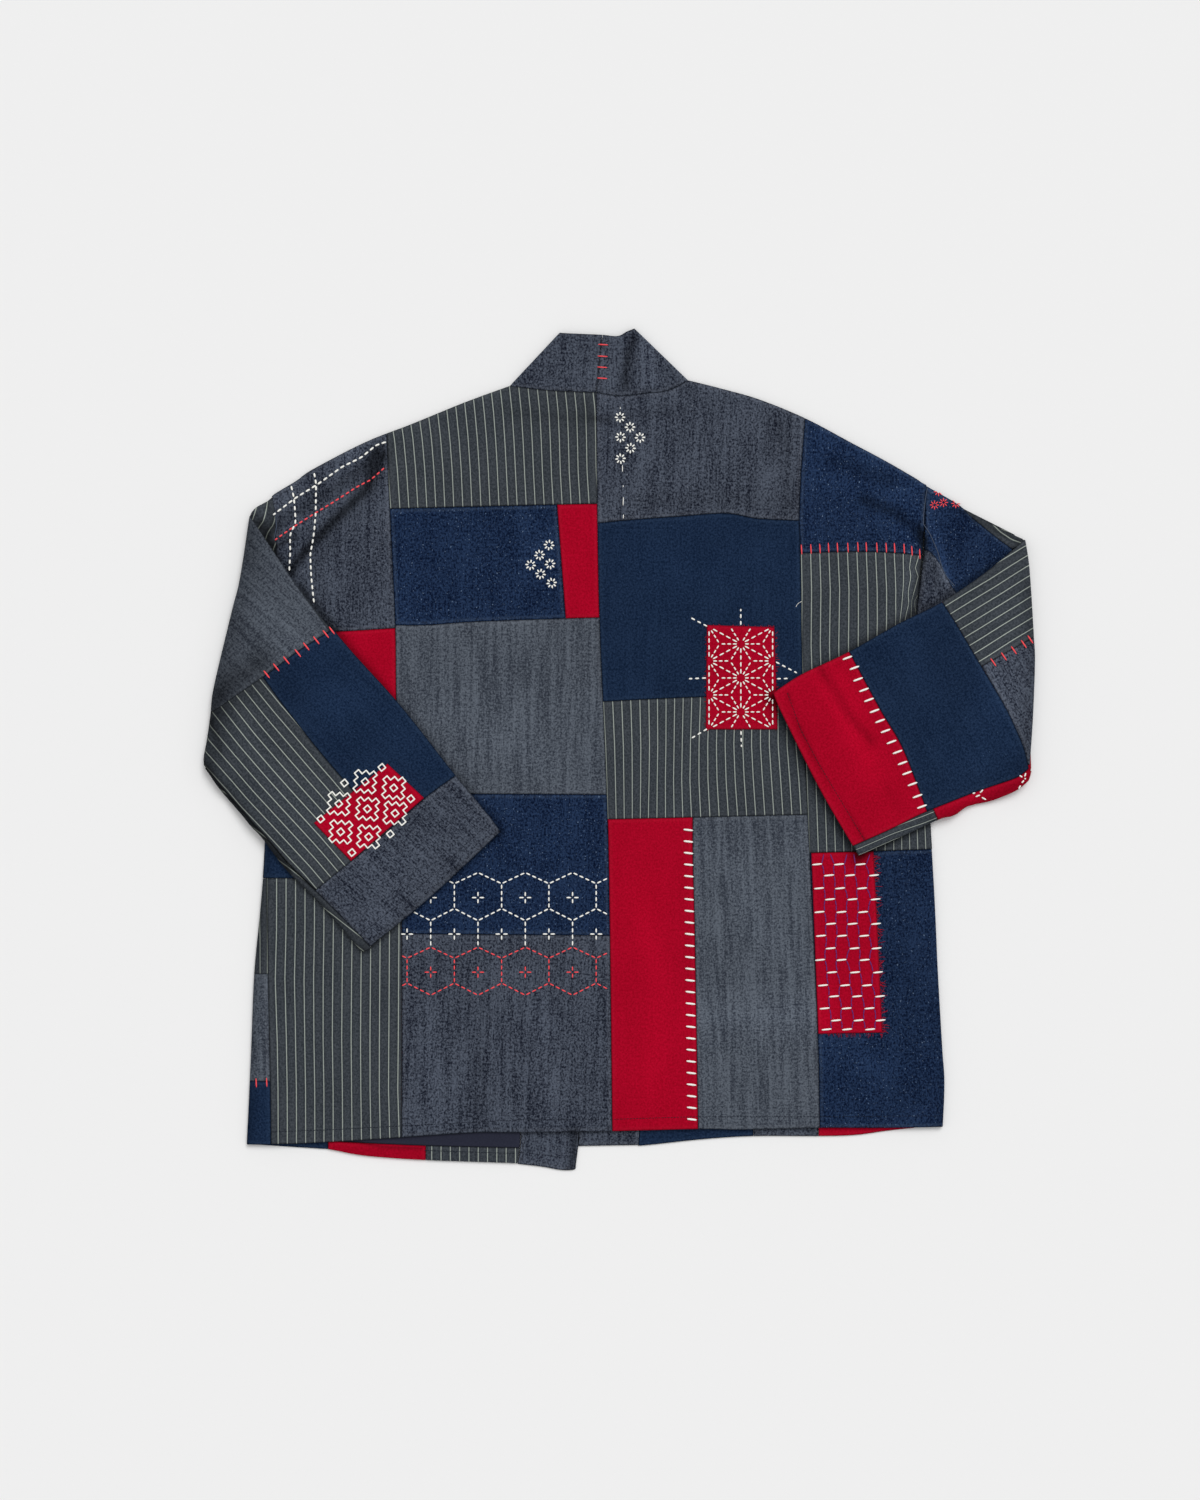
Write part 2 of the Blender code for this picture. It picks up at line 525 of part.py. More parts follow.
def make_front_left():
    """The front that shows at the left side and below the back hem, with its hem turned up."""
    across = [(-345, FRONT_SPLIT), (-80, FRONT_SPLIT)]
    upper = framed(across, SHOULDER_LEFT, SIDE_LEFT, BAND_LEFT_SEAM, (FLAT_STEP, STEP))
    upper = inset(upper, gap=HIDDEN_SEAM)
    cloth("front_left_upper", "denim", upper, floor_height(upper))

    inner = FRONT_LEFT_COLUMNS[0]
    hem_outer, hem_inner = FRONT_LEFT_HEM[1][1], FRONT_LEFT_HEM[3][1]
    seam_high, seam_low = SIDE_STRIP_SEAMS
    strips = (
        ("front_left_side_stripe", "stripe", FRONT_SPLIT, seam_high, seam_high),
        ("front_left_side_chambray", "chambray", seam_high, seam_low, seam_low),
        ("front_left_side_navy", "navy", seam_low, hem_outer, hem_inner),
    )
    for name, kind, top, low, low_inner in strips:
        fold = cut(SIDE_LEFT, (-335, top - STRIP_START), (-340, low))
        seam = cut(SIDE_SEAM_LEFT, (-324, top - STRIP_START), (-322, low))
        under = ([(inner, top), (inner, low_inner)], [fold[0], (inner, top)], [fold[-1], (inner, low_inner)])
        over = (seam, [fold[0], seam[0]], [fold[-1], seam[-1]])
        along = fractions(top - low, 2 * STEP)
        wrap(name, kind, fold, under, over, floor_height, wrapped_height, along)

    far = -400
    lines = ([(x, FRONT_SPLIT + 10), (x, far)] for x in FRONT_LEFT_COLUMNS)
    lines = [*lines, BAND_LEFT_SEAM]
    for name, kind, left, right in (
        ("front_left_red", "red", lines[0], lines[1]),
        ("front_left_stripe", "stripe", lines[1], lines[2]),
    ):
        under = inset(framed(FRONT_LEFT_HEM, across, left, right, (1.5 * STEP, FLAT_STEP)), "lrt")
        over = inset(framed(FRONT_LEFT_HEM, TURN_UP_LEFT, left, right, 1.5 * STEP), "lrt")
        folded(name, kind, under, over, floor_height, turn_up_height)

    top = [(-345, LINING_TOP), (-80, LINING_TOP)]
    lining = inset(framed(TURN_UP_LEFT, top, [(LINING_LEFT, -300), (LINING_LEFT, far)], BAND_LEFT_SEAM, STEP))
    cloth("front_left_lining", "lining", lining, turn_up_height(lining))


def make_front_right():
    across = [(-20, FRONT_SPLIT), (295, -90)]
    upper = framed(across, SHOULDER_RIGHT, BAND_RIGHT_SEAM, SIDE_RIGHT, (FLAT_STEP, STEP))
    upper = inset(upper, gap=HIDDEN_SEAM)
    cloth("front_right_upper", "denim", upper, floor_height(upper))
    columns = [[(x, FRONT_SPLIT + 40), (x, -400)] for x in FRONT_RIGHT_COLUMNS]
    lines = [BAND_RIGHT_SEAM, *columns, SIDE_SEAM_RIGHT]
    names = (("front_right_navy", "navy"), ("front_right_denim", "denim"), ("front_right_red", "red"))
    for (name, kind), left, right in zip(names, lines[:-1], lines[1:]):
        xy = inset(framed(FRONT_RIGHT_HEM, across, left, right, (1.5 * STEP, FLAT_STEP)))
        cloth(name, kind, xy, floor_height(xy))


def make_bands():
    """Each band runs up a front, turns over at the side of the neck and ends at the middle of the collar."""
    along = np.linspace(0, 1, 4)
    hem_left = [(-94, -381), (-41.5, -386)]
    hem_right = [(16.5, -363), (-35.5, -364)]
    for side, neck, top, seam, edge, hem in (
        ("left", NECK_LEFT, COLLAR_TOP[:2], BAND_LEFT_SEAM[1:], BAND_LEFT_EDGE, hem_left),
        ("right", NECK_RIGHT, COLLAR_TOP[:1:-1], BAND_RIGHT_SEAM[1:], BAND_RIGHT_EDGE, hem_right),
    ):
        under = (hem, cut(seam, neck[0], hem[0]), cut(edge, top[0], hem[1]))
        over = (COLLAR_CENTRE, neck, top + COLLAR_CENTRE[1:])
        wrap(f"collar_band_{side}", "denim", [neck[0], top[0]], under, over, floor_height, back_height, along)


def make_sleeve_left():
    """The upper wall, the wall below it and the part that still lies as the sleeve grows from the body."""
    fold_top, fold_low = FOLD_LEFT[0], FOLD_LEFT[-1]
    armhole_top, apex, seam_end = (-319.5, 229), (-267, 110), (-366, 41.3)
    corner, cuff_inner, cuff_low = (-328, 67), (-213, -74), (-279, -129)

    fold = cut(FOLD_LEFT, fold_top, FOLD_LEFT_SEAM)
    under = (
        cut(SIDE_LEFT, armhole_top, UNDERARM_LEFT),
        [fold_top, armhole_top],
        [FOLD_LEFT_SEAM, UNDERARM_LEFT],
    )
    over = (
        cut(CHAMBRAY_SEAM, apex, seam_end),
        cut(SLEEVE_LEFT_TOP, fold_top, apex),
        [FOLD_LEFT_SEAM, seam_end],
    )
    along = fractions(lengths(fold)[-1], STEP, fine_start=True)
    wrap("sleeve_left_chambray", "chambray", fold, under, over, floor_height, over_height, along)

    seam_under, edge_under = (-345, 29), (-345, 13)
    inner_seam = cut(SLEEVE_LEFT_INNER_SEAM, corner, cuff_inner)
    under = ([seam_under, edge_under], [FOLD_LEFT_SEAM, seam_under], [fold_low, edge_under])
    over = (
        cut(CUFF_LEFT_SEAM, cuff_inner, cuff_low),
        np.vstack([cut(CHAMBRAY_SEAM, FOLD_LEFT_SEAM, corner), inner_seam[1:]]),
        cut(SLEEVE_LEFT_UNDERARM, fold_low, cuff_low),
    )
    fold = cut(FOLD_LEFT, FOLD_LEFT_SEAM, fold_low)
    along = np.linspace(0, 1, 6)
    wrap("sleeve_left_stripe", "stripe", fold, under, over, floor_height, over_height, along, corner)

    for name, kind, low, high, left in (
        ("sleeve_left_navy", "navy", CUFF_LEFT_SEAM, CHAMBRAY_SEAM, SLEEVE_LEFT_INNER_SEAM),
        ("sleeve_left_cuff", "denim", CUFF_LEFT_EDGE, CUFF_LEFT_SEAM, SLEEVE_LEFT_UNDERARM),
    ):
        xy = inset(framed(low, high, left, SLEEVE_LEFT_TOP, STEP, "r"))
        cloth(name, kind, xy, over_height(xy))

    # The lower wall comes up round the lower edge to its seam.
    start, end, seam_start, seam_end = (-375, -28), (-236, -186), (-366, -31), (-227, -181)
    cuff_top, inside_top = (-112, -75), (-330, 199)
    under = (
        cut(SLEEVE_LEFT_TOP, inside_top, cuff_top),
        [start, (-368, 45), (-347, 145), inside_top],
        cut(CUFF_LEFT_EDGE, end, cuff_top),
    )
    over = (cut(SLEEVE_LEFT_UNDERARM, seam_start, seam_end), [start, seam_start], [end, seam_end])
    fold = cut(SLEEVE_LEFT_OUTLINE, start, end)
    wrap("sleeve_left_lower", "stripe", fold, under, over, under_height, over_height)

    inside_low, inside_top = (-368, -4), (-333, 217)
    standing = four_sided(
        [UNDERARM_LEFT, inside_low], [armhole_top, inside_top], cut(SIDE_LEFT, UNDERARM_LEFT, armhole_top),
        [inside_low, (-352, 120), inside_top], 1.5 * STEP, "t",
    )
    standing = inset(standing, gap=HIDDEN_SEAM * 1.5)
    cloth("sleeve_left_standing", "stripe", standing, back_height(standing))


def make_sleeve_right():
    fold_top, fold_low = FOLD_RIGHT[0], FOLD_RIGHT[-1]
    armhole_top, armhole_mid = (282, 240), (275.5, 157)
    edge_top, corner, low_end = (296, 136), (332, 77), (370, -17)

    fold = cut(FOLD_RIGHT, fold_top, FOLD_RIGHT_SEAM)
    under = (
        cut(SIDE_RIGHT, armhole_top, armhole_mid),
        [fold_top, armhole_top],
        [FOLD_RIGHT_SEAM, armhole_mid],
    )
    over = (
        cut(NAVY_OUTER_SEAM, edge_top, corner),
        cut(SLEEVE_RIGHT_TOP, fold_top, edge_top),
        cut(STRIPE_SEAM, FOLD_RIGHT_SEAM, corner),
    )
    along = fractions(lengths(fold)[-1], STEP, fine_start=True)
    wrap("sleeve_right_stripe", "stripe", fold, under, over, floor_height, over_height, along)

    fold = cut(FOLD_RIGHT, FOLD_RIGHT_SEAM, fold_low)
    under = (
        cut(SIDE_RIGHT, armhole_mid, UNDERARM_RIGHT),
        [FOLD_RIGHT_SEAM, armhole_mid],
        [fold_low, UNDERARM_RIGHT],
    )
    over = (
        cut(NAVY_OUTER_SEAM, corner, low_end),
        cut(STRIPE_SEAM, FOLD_RIGHT_SEAM, corner),
        [fold_low, low_end],
    )
    wrap("sleeve_right_denim", "denim", fold, under, over, floor_height, over_height)

    for name, kind, left, right in (
        ("sleeve_right_navy", "navy", CUFF_RIGHT_SEAM, NAVY_OUTER_SEAM),
        ("sleeve_right_cuff", "red", CUFF_RIGHT_EDGE, CUFF_RIGHT_SEAM),
    ):
        xy = inset(framed(SLEEVE_RIGHT_UNDERARM, SLEEVE_RIGHT_TOP, left, right, STEP, "t"))
        cloth(name, kind, xy, over_height(xy))

    # The lower wall comes up round the lower edge to its seam, in two pieces.
    cuff_low, cuff_top = (219, -97), (144, 53)
    split_low, split_seam, split_top = (292, -64), (288, -55), (211, 91)
    red_low, red_seam, red_top = (373, -27), (367, -24), (362, 186)
    cuff = (cuff_low, (214.5, -88), cuff_top, cut(CUFF_RIGHT_EDGE, cuff_low, cuff_top))
    split = (split_low, split_seam, split_top, cut(UNDER_RIGHT_SPLIT, split_low, split_top))
    inside = (red_low, red_seam, red_top, [red_low, (373, 104), red_top])
    for kind, first, last in (("stripe", cuff, split), ("red", split, inside)):
        start, seam_start, top_start, left = first
        end, seam_end, top_end, right = last
        under = (cut(SLEEVE_RIGHT_TOP, top_start, top_end), left, right)
        over = (cut(SLEEVE_RIGHT_UNDERARM, seam_start, seam_end), [start, seam_start], [end, seam_end])
        fold = cut(SLEEVE_RIGHT_OUTLINE, start, end)
        wrap(f"sleeve_right_lower_{kind}", kind, fold, under, over, under_height, over_height)

    # The standing part shows between the shoulder and the folded part.
    ridge_top, ridge_low, inside_low = (280, 185), (366, 6), (366, -4)
    ridge = cut(RIDGE, ridge_top, ridge_low)
    edge_start, edge_end = (328, 218), (366, 197)
    for name, kind, low, high, left, right, fine in (
        ("sleeve_right_indigo", "indigo", ridge, STANDING_TOP, cut(SIDE_RIGHT, ridge_top, STANDING_TOP[0]),
         [ridge_low, (369, 104), STANDING_TOP[-1]], "t"),
        ("sleeve_right_standing_denim", "denim", [UNDERARM_RIGHT, inside_low], ridge,
         cut(SIDE_RIGHT, UNDERARM_RIGHT, ridge_top), [inside_low, ridge_low], ""),
        ("sleeve_right_standing_stripe", "stripe", STANDING_TOP[2:], [edge_start, (344, 208), edge_end],
         [STANDING_TOP[2], edge_start], [STANDING_TOP[-1], edge_end], ""),
    ):
        xy = inset(four_sided(low, high, left, right, STEP, fine))
        cloth(name, kind, xy, back_height(xy))


def make_patches():
    for name, kind, corners, below in (
        ("patch_star", "red", STAR_PATCH, back_height),
        ("patch_brick", "red", BRICK_PATCH, back_height),
        ("patch_flower", "red", FLOWER_PATCH, over_height),
    ):
        a, b, c, d = corners
        xy = four_sided([a, b], [d, c], [a, d], [b, c], STEP)
        cloth(name, kind, xy, below(xy) + WALL / 2 + SEAM + PATCH_WALL / 2, PATCH_WALL)


clear_scene()
JACKET = bpy.data.collections.new("patched_jacket")
bpy.context.scene.collection.children.link(JACKET)
make_back()
make_side_right_low()
make_front_left()
make_front_right()
make_bands()
make_sleeve_left()
make_sleeve_right()
make_patches()
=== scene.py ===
"""Looks of the patched boro jacket, laid flat on its front with both sleeves folded over the back.

Each solid of the part is replaced by a finer wall of cloth on the same form, woven, worn, seamed and
stitched. Plan points are in millimetres. Those that go through plan() were measured on the flat lay,
across and down from its upper left corner, and are in its own units.
"""

import bpy
import numpy as np
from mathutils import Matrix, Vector
from mathutils.bvhtree import BVHTree


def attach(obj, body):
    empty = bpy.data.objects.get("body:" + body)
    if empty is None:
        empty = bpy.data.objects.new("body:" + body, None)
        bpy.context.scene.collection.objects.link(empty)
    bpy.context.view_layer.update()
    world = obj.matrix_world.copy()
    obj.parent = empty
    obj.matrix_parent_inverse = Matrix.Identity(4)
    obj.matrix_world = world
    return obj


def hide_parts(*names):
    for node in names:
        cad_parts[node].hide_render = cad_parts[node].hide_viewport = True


MM = 0.001
ABOVE_ALL = 0.1  # metres, from where threads look down for the cloth

# Cloth
WALL = 1.2  # thickness of a wall of cloth
PATCH_WALL = 0.9  # thickness of a patch that is sewn on
SEAM = 0.3  # gap between two pieces where they are sewn together
HIDDEN_SEAM = 0.9  # the same below, where two curved edges have unlike faces
AIR = 0.4  # gap between two layers that lie on each other
PITCH = WALL + AIR  # from the middle of a layer to the middle of the next
FLOOR_LAYER = WALL / 2  # middle height of the fronts, which lie on the ground
BACK_LAYER = FLOOR_LAYER + PITCH
TURN_UP_LAYER = FLOOR_LAYER + WALL + SEAM
PLUMP = 1.9  # how far the back stands off the fronts
WAVES = ((0.25, 61, 97, 0.6), (0.2, -118, 53, 0))  # of the back: height, lengths across and up, phase
SLEEVE_PLUMP = 1.4
RIPPLES = (0.16, 0.14, 0.05)  # heights: long ones across and up, short ones both ways
SLEEVE_RIPPLES = 0.8
SLEEVE_AIR = 0.5  # further room between the back and a sleeve that lies on it
SLEEVE_DROP = (14, 56)  # a sleeve's lower wall drops to the ground between these distances from the body
CUFF_LIFTS = ((148, 42), (222, -92))  # where the right cuff rides up on a patch
CUFF_LIFT = 1.6
CUFF_LIFT_WIDTH = 34.0
ROLL = 9.0  # width over which the back curves down at a side or shoulder
EDGE_ROWS = (0.9, 1.8, 3.0, 4.6)  # how far the first rows of points lie from an edge
SHORT_SIDE = 3.5  # sides shorter than this many times the last of them draw them together
STEP = 3.8  # size of a face on the back and sleeves
FLAT_STEP = 8.0  # size of a face on the fronts
BEND_STEPS = 10
WIDEST_BEND = 0.8  # of the width of the strip that a bend ends
LEAST_AREA = 0.3  # of a cut, to the rectangle that holds it
BEND_CLEAR = 1.3  # rows nearer to an edge than this many times a bend's reach move off the bend
LOWER_WALL_SHIFT = 1.2  # keeps the left sleeve's lower wall out of sight at its top edge

# Long seams of the back, from the top down
CENTRE_BACK = [(-22, 335), (-21, 227), (-19, 122), (-15, 28), (-12, -46), (-10, -121), (-7, -360)]
COLUMN_LEFT = [(-215, 300), (-212, 223), (-207, 115), (-206, 46), (-203, -46), (-201, -170), (-201, -370)]
COLUMN_RIGHT = [
    (171, 312), (167, 261), (165, 212), (166, 181), (169, 28), (173, -60), (182, -261), (184, -360),
]

# Outline of the body
NECK_LEFT = [(-102, 335), (-65, 331), (-22, 329)]
NECK_RIGHT = [(63, 340.4), (44, 331), (19, 328), (0, 326), (-22, 329)]
SHOULDER_LEFT = [
    (-95, 338), (-102, 335), (-143, 320), (-192, 300), (-233, 284), (-282, 259), (-297, 248.5),
    (-304, 244.2), (-312, 239.5), (-319, 235), (-324, 230), (-332, 225),
]
SHOULDER_RIGHT = [
    (55, 342), (63, 340.4), (94, 332.6), (129, 322.5), (171, 305.2), (213, 282.8), (246, 265.2),
    (282, 244.3), (290, 240),
]
SIDE_LEFT = [
    (-322, 240), (-320, 231), (-317, 205), (-318, 138), (-322, 64), (-326, 26), (-327, -83), (-331, -143),
    (-337, -206), (-340, -280), (-344, -366),
]
SIDE_RIGHT = [
    (283, 250), (282, 240), (280, 205), (278, 177), (274, 140), (272, 110), (275, 60), (282, 27),
    (283, -9), (286, -68), (290, -139), (293, -205), (297, -275), (299, -308), (297, -356),
]
SIDE_SEAM_LEFT = [(-322, -108), (-325, -118), (-324, -205), (-322, -305), (-321, -372)]
SIDE_SEAM_RIGHT = [(280, -80), (271, -360)]
BACK_HEM = [
    (-350, -364), (-321, -363), (-290, -362), (-236, -359), (-165, -354), (-128, -352), (-90, -352),
    (-7, -351), (72, -349), (112, -349.5), (183, -348), (247, -348), (297, -347), (306, -347),
]

# Seams across the back
YOKE_LEFT_HEM = [(-222, 222), (-58, 226), (-10, 227)]
INDIGO_LEFT_HEM = [(-220, 115), (-178, 115), (-135, 118), (-50, 121), (-10, 122)]
RED_LEFT_SEAM = [(-59, 235), (-58, 226), (-50, 121), (-49, 110)]
CHAMBRAY_LEFT_HEM = [(-220, -40), (-5, -41)]
INDIGO_LOW_HEM = [(-220, -169), (-3, -171)]
YOKE_RIGHT_HEM = [(-35, 208), (-21, 209), (10, 212), (52, 215), (97, 218), (128, 213), (175, 211)]
NAVY_HEM = [(-25, 44), (55, 48), (180, 52)]
STRIPE_HEM = [(-22, -64), (66, -62), (185, -59)]
RED_LONG_SEAM = [(67, -52), (67, -100), (69, -174), (72, -358)]
SIDE_LEFT_SEAMS = (
    [(-340, 107), (-262, 109), (-195, 113)],
    [(-345, 14), (-195, 14)],
    [(-345, -118), (-190, -118)],
)
SIDE_RIGHT_SEAMS = (
    [(155, 180.5), (200, 182.5), (245, 182), (290, 178)],
    [(165, -95), (235, -93), (300, -91)],
)

# Fronts, which lie under the back
BAND_LEFT_SEAM = [(-102.5, 345), (-102, 335), (-100, 138), (-97, -230), (-91.7, -348), (-94.3, -381),
                  (-94.5, -395)]
BAND_LEFT_EDGE = [(-56, 384.1), (-55, 138), (-43, -230), (-37.4, -347), (-38.2, -364), (-40.6, -384),
                  (-41, -395)]
BAND_RIGHT_SEAM = [(64, 352), (63, 340.4), (48, 138), (26, -230), (16, -375)]
BAND_RIGHT_EDGE = [(13.5, 388.2), (0, 138), (-25, -230), (-37.7, -345), (-38.6, -366), (-39, -375)]
FRONT_LEFT_HEM = [
    (-350, -364), (-321, -363.5), (-292, -367), (-269, -368), (-235, -374), (-179, -378), (-94, -381),
    (-79, -383), (-59, -386), (-30, -386.5),
]
TURN_UP_LEFT = [(-350, -352), (-268, -360), (-182, -364.5), (-80, -367)]
FRONT_RIGHT_HEM = [
    (-50, -364.5), (-17, -365.5), (19, -364.8), (75, -359), (123, -356), (183, -356), (217, -355),
    (247, -351), (285, -347),
]
FRONT_SPLIT = -118  # below this line the fronts are pieced in columns
FRONT_LEFT_COLUMNS = (-269, -179)
FRONT_RIGHT_COLUMNS = (123, 183)
SIDE_STRIP_SEAMS = (-206, -305)
LINING_TOP = -335
LINING_LEFT = -262

# Collar, whose ends turn under to run down the fronts as the bands
COLLAR_TOP = [(-56, 384.1), (-24, 382.8), (-2, 381.3), (6, 385.3), (13.5, 388.2)]
COLLAR_CENTRE = [(-22, 329), (-16, 382.4)]

# Left sleeve
FOLD_LEFT_SEAM = (-376.9, 33.6)  # where the seam below the upper piece meets the fold
FOLD_LEFT = [
    (-341, 216), (-350, 157), (-358, 125), (-373.9, 58), FOLD_LEFT_SEAM, (-380, 11), (-383, -5),
    (-383.2, -13),
]
SLEEVE_LEFT_TOP = [
    (-341, 216), (-322, 188), (-282, 134), (-248, 92), (-202, 41), (-154, -20), (-118, -64), (-108, -80),
]
SLEEVE_LEFT_OUTLINE = [
    (-383.4, -14), (-377.2, -23), (-365.9, -39.2), (-348.4, -59), (-339.7, -69.8), (-328.4, -81.7),
    (-306, -111), (-276, -141), (-237, -186),
]
SLEEVE_LEFT_UNDERARM = [
    (-383.2, -13), (-375, -22.4), (-363.6, -38), (-345.9, -57.4), (-337.2, -68), (-325.8, -79.8),
    (-303, -107), (-272, -137), (-228, -182), (-220, -190),
]
CHAMBRAY_SEAM = [(-262, 112), (-294, 92), (-328, 67), FOLD_LEFT_SEAM]
SLEEVE_LEFT_INNER_SEAM = [(-332, 73), (-328, 67), (-311, 43), (-269, -10), (-213, -74), (-205, -83)]
CUFF_LEFT_SEAM = [(-146, -20), (-179, -44), (-213, -74), (-247, -102), (-290, -137)]
CUFF_LEFT_EDGE = [(-104, -70), (-111, -76), (-173, -134), (-230, -181), (-245, -193)]
UNDERARM_LEFT = (-326, 26)
ARMHOLE_LEFT = [(-319.5, 233.5), (-324, 230), (-330.5, 226.8), (-335.6, 223.3), (-339.6, 218.6),
                (-340.5, 213)]

# Right sleeve
FOLD_RIGHT_SEAM = (381, 104)
FOLD_RIGHT = [(373, 194), (377, 166), FOLD_RIGHT_SEAM, (382, 80), (380, 28), (377, -15)]
SLEEVE_RIGHT_TOP = [
    (373, 194), (336, 163), (296, 136), (256, 116), (210, 90), (168, 70), (143, 54), (134, 48),
]
SLEEVE_RIGHT_UNDERARM = [(384, -9), (376.7, -15.7), (370.7, -21.2), (361.8, -26.5), (333, -36.5),
                         (283, -56), (248, -73), (214, -88), (204, -92)]
SLEEVE_RIGHT_OUTLINE = [
    (381, -13), (378.2, -20), (376, -27.5), (371.2, -32.3), (362.3, -38.5), (341.8, -46.9), (325, -50.5),
    (317, -53.4), (311.5, -57.8), (304.5, -61.2), (293, -64), (258, -80), (217, -98), (207, -102),
]
STRIPE_SEAM = [FOLD_RIGHT_SEAM, (332, 77), (322, 71)]
NAVY_OUTER_SEAM = [
    (291, 144), (310.8, 112.7), (331.8, 77), (352.7, 41.2), (362, 22.7), (370.5, 3), (374, -10),
    (376.5, -22),
]
CUFF_RIGHT_SEAM = [(208, 95), (238, 39), (258, 5), (273, -32), (287, -70)]
CUFF_RIGHT_EDGE = [(140, 62), (142, 48), (154, 22), (185, -39), (217, -94), (222, -104)]
UNDER_RIGHT_SPLIT = [(206, 100), (298, -75)]
SHOULDER_SLEEVE = [(276, 247), (282, 244), (312, 227), (344, 208), (380, 189)]
STANDING_TOP = [(282, 243), (312, 225.5), (324, 214), (346, 196), (361, 185)]
STANDING_EDGE = [(326, 217), (336, 211.2), (346, 206), (358.5, 199.6), (366, 196.3), (370.5, 194.4),
                 (374, 191.2)]
RIDGE = [(276, 186), (286, 182), (294, 172), (302, 156), (318, 130), (345, 80), (368, 0), (372, -12)]
UNDERARM_RIGHT = (282, 27)

# Patches that are sewn on, by their four corners from the lower left, anticlockwise
STAR_PATCH = [(79, 19), (145, 19), (142, 113), (80, 115)]
BRICK_PATCH = [(182.4, -261), (241.4, -260), (233.3, -93.3), (176, -94.8)]
FLOWER_PATCH = [(-247, -102), (-180, -44), (-213.6, -12.6), (-281, -67)]

# Folds that stand up (or sink in) on the back: route, height, half width
BACK_FOLDS = [
    ([(-242, 268), (-262, 238), (-290, 218), (-306, 208)], 2.2, 15),
    ([(-224, 272), (-226, 246), (-247, 220), (-270, 203), (-296, 182)], -1.2, 9),
    ([(193, 267), (240, 236), (272, 206)], 1.6, 24),
    ([(262, 150), (268, 175), (262, 200)], 1.2, 10),
    ([(74, -248), (178, -246)], 1.0, 24),
    ([(-90, 310), (0, 300)], -0.6, 18),
]
SLEEVE_FOLDS = [
    ([(-352, 150), (-300, 90), (-262, 40)], 1.2, 22),
    ([(-300, -40), (-230, -100)], 0.8, 24),
    ([(200, 60), (228, -20)], 0.9, 16),
    ([(352, 130), (345, 60), (330, -10)], 1.1, 22),
]

# Pin stripes
STRIPE_PITCH = 8.5
STRIPE_WIDTH = 0.66
STRIPE_COLOUR = (172, 180, 170)  # colours are those on screen, of 0 to 255
STRIPES_BEYOND = 6.45  # how many stripes a piece may have past the outermost measured ones
RIB_PLACE = 1.5  # from the middle of a stripe to the dark rib beside it
RIB_EDGES = (0.2, 0.8)
RIB_SHARE = 0.35
RIB_COLOUR = (38, 41, 45)
STRIPE_EDGES = (0.3, 0.72)  # where a stripe begins to fade and ends, to its width
STRIPE_LEAST, STRIPE_VARIES = 0.62, 0.42
BROKEN_GRAIN = (30, 1.6)

# Seams and hems
SEAM_DITCH = 0.45
SEAM_DITCH_WIDTH = 1.5
TURNED_WIDTH = 8.0  # width of the seam allowance that is pressed under
TURNED_SOFT = 3.0  # width of the step at its end
TURNED_LIFT = 0.22
HEM_WIDTH = 11.0
HEM_SOFT = 2.0
HEM_LIFT = 0.45
TURNED = {  # the sides of a piece under which the seam allowances lie
    "back_yoke_left": "br", "back_left_indigo": "l", "back_left_chambray": "tb",
    "back_left_indigo_low": "l", "back_left_denim": "t", "back_yoke_right": "b", "back_right_navy": "l",
    "back_right_stripe": "t", "back_right_red": "lr", "back_right_chambray": "t", "side_left_denim": "r",
    "side_left_stripe": "lr", "side_right_indigo": "b", "side_right_stripe": "l",
    "side_right_indigo_low": "l", "sleeve_left_navy": "lt", "sleeve_right_navy": "lr",
}
HEMMED = {
    "back_left_denim": "b", "back_right_red": "b", "back_right_chambray": "b", "side_left_stripe": "b",
    "sleeve_left_cuff": "b", "sleeve_right_cuff": "l",
}
GRAIN = {  # degrees by which the threads of a piece are turned
    "sleeve_left_chambray": 48, "sleeve_left_navy": 48, "sleeve_left_cuff": 48, "sleeve_right_navy": 30,
    "sleeve_right_denim": 30, "sleeve_right_cuff": 30,
}

# Threads
THREAD = 0.95  # radius of the thickest
THREAD_SIDES = 8
THREAD_RISE = 0.45  # how far a thread's middle stands off the cloth, to its radius
THREAD_SHARES = np.array([0, 0.08, 0.25, 0.5, 0.75, 0.92, 1])
THREAD_FORM = np.array([0.35, 0.75, 1, 1.05, 1, 0.75, 0.35])
THREAD_JITTER, JITTER_STEP = 0.06, 2.4  # how its height changes from stitch to stitch
THREAD_FLAT = 0.85  # height of a thread to its width
THREAD_REACH = 0.7  # how far to each side of its middle a thread finds the cloth
SHORTEST_THREAD = 0.3
HIDDEN_BELOW = 1.5  # a stitch this far below a piece that lies over it is left out
STITCH_SHARE = 0.68  # length of a stitch to the way from its start to the next
SHORTEST_STITCH = 0.4  # the last one of a line, to a whole one
MACHINE_STITCH, MACHINE_GAP, MACHINE_RADIUS = 2.2, 0.7, 0.22
FRAY_RADIUS = 0.18
FRAY_SPREAD = 0.5  # how far the ways of loose ends differ
FRAY_ROOT = 0.8  # millimetres of a loose end on the cloth
FRAY_LEAST = 0.4  # the root of the shortest's share of the longest
ROLL_STITCH, ROLL_GAP, ROLL_RADIUS = 4.0, -0.4, 0.4
RAY_STITCH, RAY_GAP = 3.7, 2.6
PETALS = 8
PETAL = (2.0, 4.9)  # where a petal starts and ends, from the daisy's middle
SMALL_PETAL = (1.2, 4.3)
DAISY_SWING = 8  # degrees by which the daisies are turned
WHITE_THREAD = (255, 255, 248)
RED_THREAD = (255, 88, 94)
VIOLET_THREAD = (110, 48, 118)
HEM_THREAD = (30, 34, 48)
FRAY_THREAD = (170, 20, 44)

